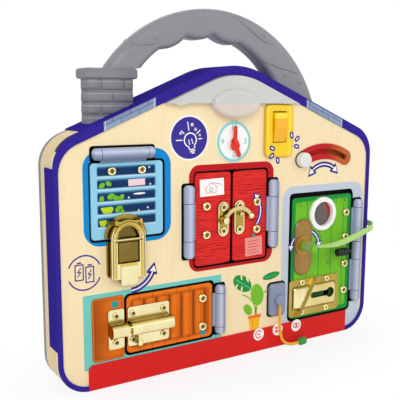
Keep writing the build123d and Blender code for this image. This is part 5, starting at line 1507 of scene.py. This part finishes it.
@dataclass
class PressedLines:
    """Thin brass layers on the stamped brass: dark press lines as painted shade, pale rims and rivet rings as
    painted highlights, and warm rails as painted reflections.
    """

    hasp_x: float = -96.0
    dee_z: float = 112.4
    hasp_face: float = -6.2
    hasp_low: float = 83.0
    window: Point = (94.4, 110.6)
    plate_face: float = -1.2
    boss_face: float = -2.1
    rivet_rise: float = 9.6
    hook_face: float = -4.8
    pivot: Point = (-10.6, 117.5)
    flange_face: float = -1.0
    raised: Box = (63.4, 111.4, 30.7, 49.7)
    raised_line: float = 0.9
    raised_gap: float = 0.6

    def layer(self, name: str, surface: str, depth: float, body: str,
              thickness: float = INK_MM) -> PrintLayer:
        """Start a thin layer of brass."""
        return PrintLayer(name, Tone.BRASS, depth, body, thickness, surface=surface)

    def hasp(self) -> None:
        """Paint shade along the hasp's arch, lay a rail of painted reflection on each side of its window, and mark
        its bends with painted shade and painted reflection.
        """
        x, top, foot = self.hasp_x, self.dee_z, self.hasp_low
        # Painted shade: dark press lines round the arch and down both sides.
        lines = self.layer("hasp_press_lines", "shadow_brass", self.hasp_face, "snap")
        for radius, width in ((12.6, 0.6), (9.9, 0.25)):
            lines.arc(x, top, radius, width, 0, 180)
            for side in (-radius, radius):
                lines.slab(x + side, (top + foot) / 2, width, top - foot)
        lines.finish()
        # Painted reflection: amber rails beside the window.
        rails = self.layer("hasp_rails", "warm_brass", self.hasp_face, "snap")
        low, high, reach = foot + 0.4, top - 0.6, 10.9
        for side in (-reach, reach):
            rails.slab(x + side, (low + high) / 2, 2.0, high - low)
        rails.add(PrintLayer.arc, ((x, top, reach, 1.6, start, start + 50) for start in (2, 128))).finish()
        # Painted shade: a dark line across the top of the window.
        bars = self.layer("hasp_cross_lines", "shadow_brass", self.hasp_face, "snap")
        bars.slab(x, self.window[1] + 0.35, 22.0, 0.9).finish()
        # Painted reflection on the tab's bend.
        bend = self.layer("hasp_tab_bend", "warm_brass", self.hasp_face - 0.6, "snap")
        bend.slab(x, self.window[0] - 1.2, 13.0, 2.2).finish()

    def hook(self) -> None:
        """Rim both hook plates and ring their rivets with painted highlights, and darken the rivets' eyes and the
        hook's eye as painted shade.
        """
        for node, body in (("hook_plate", "left_door"), ("catch_plate", "right_door")):
            left, right, low, high = reach_of([node])
            x, z = (left + right) / 2, (low + high) / 2
            # Painted highlight: a pale rim round each plate; then pale rings and dark eyes on the rivets, as painted
            # highlight and painted shade.
            rim = self.layer(f"{node}_rim", "pale_brass", self.plate_face, body, 0.25)
            rim.stadium(left, right, low, high, 0.1, 0.9).finish()
            for part, surface, mark, sizes in (("ring", "pale_brass", PrintLayer.arc, (2.3, 0.9)),
                                               ("eye", "shadow_brass", PrintLayer.disc, (1.5,))):
                dots = self.layer(f"{node}_rivet_{part}", surface, self.boss_face, body, 0.12)
                dots.add(mark, ((x, z + rise, *sizes) for rise in (-self.rivet_rise, self.rivet_rise)))
                dots.finish()
        # Painted shade: a dark ring round the hook's eye.
        eye = self.layer("hook_eye_line", "shadow_brass", self.hook_face, "swing_hook")
        eye.arc(*self.pivot, 2.9, 0.3).finish()

    def build(self) -> None:
        """Build all the press lines."""
        self.hasp()
        self.hook()
        left, right, low, high = self.raised
        line, gap = self.raised_line, self.raised_gap
        shade = self.layer("slide_plate_shadow_line", "shadow_brass", self.flange_face, "front_door")
        for z in (low - gap, high + gap):
            shade.slab((left + right) / 2, z, right - left, line)
        for x in (left - gap, right + gap):
            shade.slab(x, (low + high) / 2, line, high - low)
        shade.finish()


@dataclass
class GripRelief:
    """Raised swirls and bubbles on both faces of the carry handle."""

    centre: Point = (-12.0, 171.0)
    radius: float = 111.5
    rounding: float = 7.0
    front: float = 9.5
    back: float = 26.5
    wire: float = 1.0
    swirls: tuple[tuple[Point, ...], ...] = (
        ((137.5, 109.5), (134.5, 109.0), (130.5, 106.9), (125.6, 100.7), (122.7, 98.2), (119.5, 97.8)),
        ((86.5, 109.0), (82.6, 108.5), (76.2, 105.5), (69.3, 101.7), (62.2, 100.5), (58.8, 101.9),
         (54.6, 105.6)),
        ((57.6, 86.6), (52.3, 89.3), (47.6, 92.9), (43.0, 97.9), (38.6, 104.0), (34.4, 107.8)),
        ((79.0, 108.6), (75.4, 107.6), (72.4, 107.4)),
        ((31.0, 96.0), (24.0, 92.0), (17.0, 95.0), (10.0, 103.0)),
    )
    bubbles: tuple[Triple, ...] = (
        (129.8, 107.6, 3.2), (121.0, 102.9, 3.0), (62.6, 105.3, 2.6), (42.2, 93.9, 2.8), (34.0, 102.6, 2.9),
        (53.5, 96.1, 1.5), (134.6, 104.0, 1.6), (24.0, 100.4, 2.4), (16.0, 101.6, 1.7),
    )

    def place(self, angle: float, radius: float, sink: float, back: bool) -> Vector:
        """Give a point on the handle's rounded face by its angle and its distance from the arch's middle.

        Args:
            angle: Degrees from the right, against the clock.
            radius: Millimetres from the arch's middle.
            sink: How far below the face the point lies, in millimetres.
            back: Whether the point is on the back face.

        Returns:
            The point in the frame of the CAD.
        """
        over = max(0.0, radius - (self.radius - self.rounding))
        fall = self.rounding - math.sqrt(max(0.0, self.rounding ** 2 - over ** 2)) + sink
        x, z = Vector(self.centre) + along(angle, radius)
        return on_face(x, self.back - fall if back else self.front + fall, z)

    def ridge(self, name: str, route: Sequence[Point], back: bool) -> None:
        """Build one raised swirl as a half-buried round wire that thins at its ends."""
        curve = spline_curve(name, [self.place(*point, self.wire * 0.2, back) for point in route])
        curve.bevel_depth = self.wire * MM
        curve.bevel_resolution = 3
        for end in (0, -1):
            curve.splines[0].points[end].radius = 0.35
        publish(bmesh_of(curve), name, FINISHES["smoke_grey"], BOARD_BODY, smooth=True)

    def build(self) -> None:
        """Build the relief on the front and on the back."""
        for side, back in (("front", False), ("back", True)):
            for number, route in enumerate(self.swirls):
                self.ridge(f"handle_{side}_swirl_{number}", route, back)
            bm = bmesh.new()
            for angle, radius, size in self.bubbles:
                made = bmesh.ops.create_uvsphere(bm, u_segments=24, v_segments=12, radius=size * MM)["verts"]
                bmesh.ops.scale(bm, vec=(1, 0.32, 1), verts=made)
                bmesh.ops.translate(bm, vec=self.place(angle, radius, size * 0.08, back), verts=made)
            publish(bm, f"handle_{side}_bubbles", FINISHES["smoke_grey"], BOARD_BODY, smooth=True)


@dataclass
class DoorChain:
    """The orange cord that hangs from the anchor, with a green bead at its end."""

    diameter: float = 2.4
    length: float = 56.4
    points: tuple[Triple, ...] = (
        (45.2, -5.8, 41.0), (45.2, -5.8, 28.0), (45.8, -5.9, 15.6), (48.2, -6.2, 6.8),
        (54.6, -6.6, 2.4), (62.0, -7.4, 2.0), (69.0, -8.0, 3.2))

    def build(self) -> None:
        """Build the cord along its route."""
        curve = spline_curve("door_chain_cord", [on_face(*place) for place in self.points], 10)
        curve.bevel_depth = self.diameter / 2 * MM
        curve.bevel_resolution = 6
        cord = link("door_chain_cord", curve)
        curve.materials.append(FINISHES["cord_orange"].material())
        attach(cord, BOARD_BODY)
        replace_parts(cord, "chain_cord")
        tuple(on_face(*self.points[0]))
        log.info("door chain cord built")


@dataclass
class KeyStrap:
    """The woven green strap from the key's end, over the door, to the peg on the board's side."""

    width: float = 5.0
    thickness: float = 1.2
    length: float = 97.9
    points: tuple[Triple, ...] = (
        (75.3, -15.0, 88.6), (88.0, -16.4, 87.8), (101.0, -16.2, 88.4), (114.4, -14.8, 90.6),
        (127.2, -13.2, 93.2), (139.0, -11.8, 95.8), (149.2, -9.4, 98.0), (154.8, -1.8, 99.2),
        (155.0, 11.8, 99.6))
    across: int = 4
    door_edge: float = 136.4

    def lean(self, share: float) -> Vector:
        """Give the direction of the strap's width: flat on the key's end, upright past the door's edge."""
        turn = math.radians(90) * min(1.0, share / 0.55)
        return Vector((0, math.cos(turn), math.sin(turn)))

    def build(self) -> None:
        """Build the band, in place of the packed strap, and its two stitched eyes."""
        route = mesh_of(spline_curve("strap_route", [on_face(*place) for place in self.points], 10))
        line = [vert.co.copy() for vert in route.vertices]
        bpy.data.meshes.remove(route)
        bm = bmesh.new()
        uv_layer = bm.loops.layers.uv.new("UVMap")
        count = len(line)
        bmesh.ops.create_grid(bm, x_segments=count - 1, y_segments=self.across, size=1.0)
        rows = sorted(bm.verts, key=lambda vert: (round(vert.co.x, 5), vert.co.y))
        wide = self.across + 1
        marks: dict[bmesh.types.BMVert, Point] = {}
        run = 0.0
        for index, point in enumerate(line):
            ahead = (line[min(index + 1, count - 1)] - line[max(index - 1, 0)]).normalized()
            if index:
                run += (point - line[index - 1]).length / MM
            side = self.lean(index / (count - 1))
            side = (side - ahead * side.dot(ahead)).normalized()
            for step in range(wide):
                offset = (step / self.across - 0.5) * self.width
                vert = rows[index * wide + step]
                vert.co = point + side * offset * MM
                marks[vert] = (run, offset)
        for face in bm.faces:
            face.smooth = True
            for loop in face.loops:
                loop[uv_layer].uv = marks[loop.vert]
        bmesh.ops.recalc_face_normals(bm, faces=bm.faces)
        mesh = bpy.data.meshes.new("key_strap_band")
        bm.to_mesh(mesh)
        bm.free()
        mesh.materials.append(FINISHES["strap_green"].material())
        band = link("key_strap_band", mesh)
        thick = band.modifiers.new("thickness", "SOLIDIFY")
        thick.thickness = self.thickness * MM
        thick.offset = 0.0
        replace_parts(band, "key_strap")
        tuple(on_face(self.door_edge - 14, -12, 96))
        tuple(on_face(self.door_edge + 12, -12, 98))
        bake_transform(band)
        self.eye("key_strap_key_eye", on_face(72.2, -15.0, 87.2), "X", 2.4, "front_door")
        self.eye("key_strap_peg_eye", on_face(155.0, 15.2, 99.6), "Y", 2.6, BOARD_BODY)
        log.info("key strap built with %d points", count)

    def eye(self, name: str, place: Vector, axis: str, inner: float, body: str) -> None:
        """Build a stitched loop of the strap round a pin.

        Args:
            name: The piece's name.
            place: The loop's middle.
            axis: The axis that the lying loop is turned about to fit its pin.
            inner: The loop's inner radius in millimetres.
            body: The body that carries it.
        """
        bm = bmesh.new()
        half, outer = 1.4, inner + 1.6
        corners = [bm.verts.new((radius * MM, 0, height * MM)) for radius, height in
                   ((inner, -half), (outer, -half), (outer, half), (inner, half))]
        edges = [bm.edges.new((corners[i], corners[(i + 1) % 4])) for i in range(4)]
        bmesh.ops.spin(bm, geom=corners + edges, cent=(0, 0, 0), axis=(0, 0, 1), angle=math.tau, steps=36,
                       use_merge=True, use_duplicate=False)
        bmesh.ops.remove_doubles(bm, verts=bm.verts, dist=1e-7)
        bmesh.ops.recalc_face_normals(bm, faces=bm.faces)
        turn = Matrix.Rotation(math.radians(90), 4, axis)
        bmesh.ops.transform(bm, matrix=Matrix.Translation(place) @ turn, verts=bm.verts)
        publish(bm, name, FINISHES["strap_eye"], body)


def dress_packed_pieces() -> None:
    """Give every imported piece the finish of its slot."""
    for entry in frame["record"]["subparts"]:
        node = frame["nodes"][entry["node"]]
        finish = FINISHES[entry["material_slot"]]
        if not node.material_slots:
            node.data.materials.append(None)
        for place in node.material_slots:
            place.material = finish.material()
    log.info("%d packed pieces dressed", len(frame["nodes"]))


@dataclass
class Studio:
    """The pale floor, the soft light and the camera of the photograph."""

    camera_place: Triple = (-297.9, -432.2, 212.2)
    yaw: float = 31.62
    pitch: float = 8.64
    roll: float = 0.19
    focal_pixels: float = 658.6
    picture_pixels: float = 400.0
    sensor_mm: float = 36.0
    sky: float = 0.62
    key_watts: float = 4.0
    aim: Triple = (0, 0, 0.13)

    def camera(self) -> None:
        """Place the camera at the photograph's viewing angle."""
        yaw, pitch, roll = (math.radians(angle) for angle in (self.yaw, self.pitch, self.roll))
        ahead = Vector((math.sin(yaw) * math.cos(pitch), math.cos(yaw) * math.cos(pitch), -math.sin(pitch)))
        right = Vector((math.cos(yaw), -math.sin(yaw), 0))
        up = right.cross(ahead)
        level = math.cos(roll) * right + math.sin(roll) * up
        rise = -math.sin(roll) * right + math.cos(roll) * up
        data = bpy.data.cameras.new("photo_camera")
        data.sensor_width = self.sensor_mm
        data.lens = self.focal_pixels / self.picture_pixels * self.sensor_mm
        data.clip_start = 0.01
        camera = link("photo_camera", data)
        turn = Matrix((level, rise, -ahead)).transposed().to_4x4()
        camera.matrix_world = Matrix.Translation(on_face(*self.camera_place)) @ turn
        bpy.context.scene.camera = camera

    def seen(self, tree: bpy.types.NodeTree, *rays: str) -> Field:
        """Give a mask that is one for any of some kinds of light rays."""
        path = add_node(tree, "ShaderNodeLightPath").outputs
        mask = Field(tree, path[f"Is {rays[0]} Ray"])
        for ray in rays[1:]:
            mask = mask.join("MAXIMUM", path[f"Is {ray} Ray"])
        return mask

    def floor(self) -> None:
        """Lay a white floor that keeps the board's shadow and fades into the white behind it."""
        bm = bmesh.new()
        bmesh.ops.create_grid(bm, x_segments=8, y_segments=8, size=6.0)
        mesh = bpy.data.meshes.new("studio_floor")
        bm.to_mesh(mesh)
        bm.free()
        ground = link("studio_floor", mesh)
        ground.location.z = -0.0002
        material = bpy.data.materials.new("white_studio_paper")
        material.use_nodes = True
        tree = material.node_tree
        tree.nodes.clear()
        place = add_node(tree, "ShaderNodeTexCoord").outputs["Object"]
        oval = add_node(tree, "ShaderNodeVectorMath", {0: place, 1: (1.0, 2.2, 1.0)},
                        operation="MULTIPLY").outputs[0]
        reach = add_node(tree, "ShaderNodeVectorMath", {0: oval}, operation="LENGTH").outputs["Value"]
        fade = Field(tree, reach).mapped(0.1, 0.26, 0.8, 1.0, "SMOOTHSTEP")
        matt = add_node(tree, "ShaderNodeBsdfDiffuse", {"Color": (0.93, 0.93, 0.93, 1)}).outputs[0]
        glow = add_node(tree, "ShaderNodeEmission", {"Color": (1, 1, 1, 1), "Strength": 1.0}).outputs[0]
        mask = fade * self.seen(tree, "Camera", "Glossy")
        blend = add_node(tree, "ShaderNodeMixShader", {0: mask, 1: matt, 2: glow}).outputs[0]
        add_node(tree, "ShaderNodeOutputMaterial", {"Surface": blend})
        mesh.materials.append(material)

    def light(self) -> None:
        """Light the board softly from all round, with a broad lamp high on the left."""
        world = bpy.data.worlds.new("studio_sky")
        bpy.context.scene.world = world
        world.use_nodes = True
        tree = world.node_tree
        tree.nodes.clear()
        strength = self.seen(tree, "Camera", "Glossy", "Transmission").mapped(0, 1, self.sky, 1.0)
        sky = add_node(tree, "ShaderNodeBackground", {"Color": (1, 1, 1, 1), "Strength": strength}).outputs[0]
        add_node(tree, "ShaderNodeOutputWorld", {"Surface": sky})
        for name, place, size, share in (("key_lamp", (-0.55, -0.75, 0.75), 0.5, 1.0),
                                         ("fill_lamp", (0.7, -0.6, 0.45), 0.6, 0.35),
                                         ("back_lamp", (0.3, 0.8, 0.8), 0.6, 0.4)):
            data = bpy.data.lights.new(name, "AREA")
            data.size = size
            data.energy = self.key_watts * share
            lamp = link(name, data)
            lamp.location = place
            lamp.rotation_euler = (Vector(self.aim) - Vector(place)).to_track_quat("-Z", "Y").to_euler()

    def build(self) -> None:
        """Set up the whole studio."""
        self.camera()
        self.floor()
        self.light()
        bpy.context.scene.view_settings.view_transform = "Standard"


def main() -> None:
    """Build the studio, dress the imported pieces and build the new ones."""
    logging.basicConfig(level=logging.INFO, format="%(name)s: %(message)s")
    for part in (Studio(), DoorChain(), KeyStrap()):
        part.build()
    dress_packed_pieces()
    for part in (WallPrints(), FootBandPrints(), ClockPrint(), LampSeal(), DoorPrints(), ScrewRims(),
                 PressedLines(), GripRelief()):
        part.build()


if __name__ == "__main__":
    main()
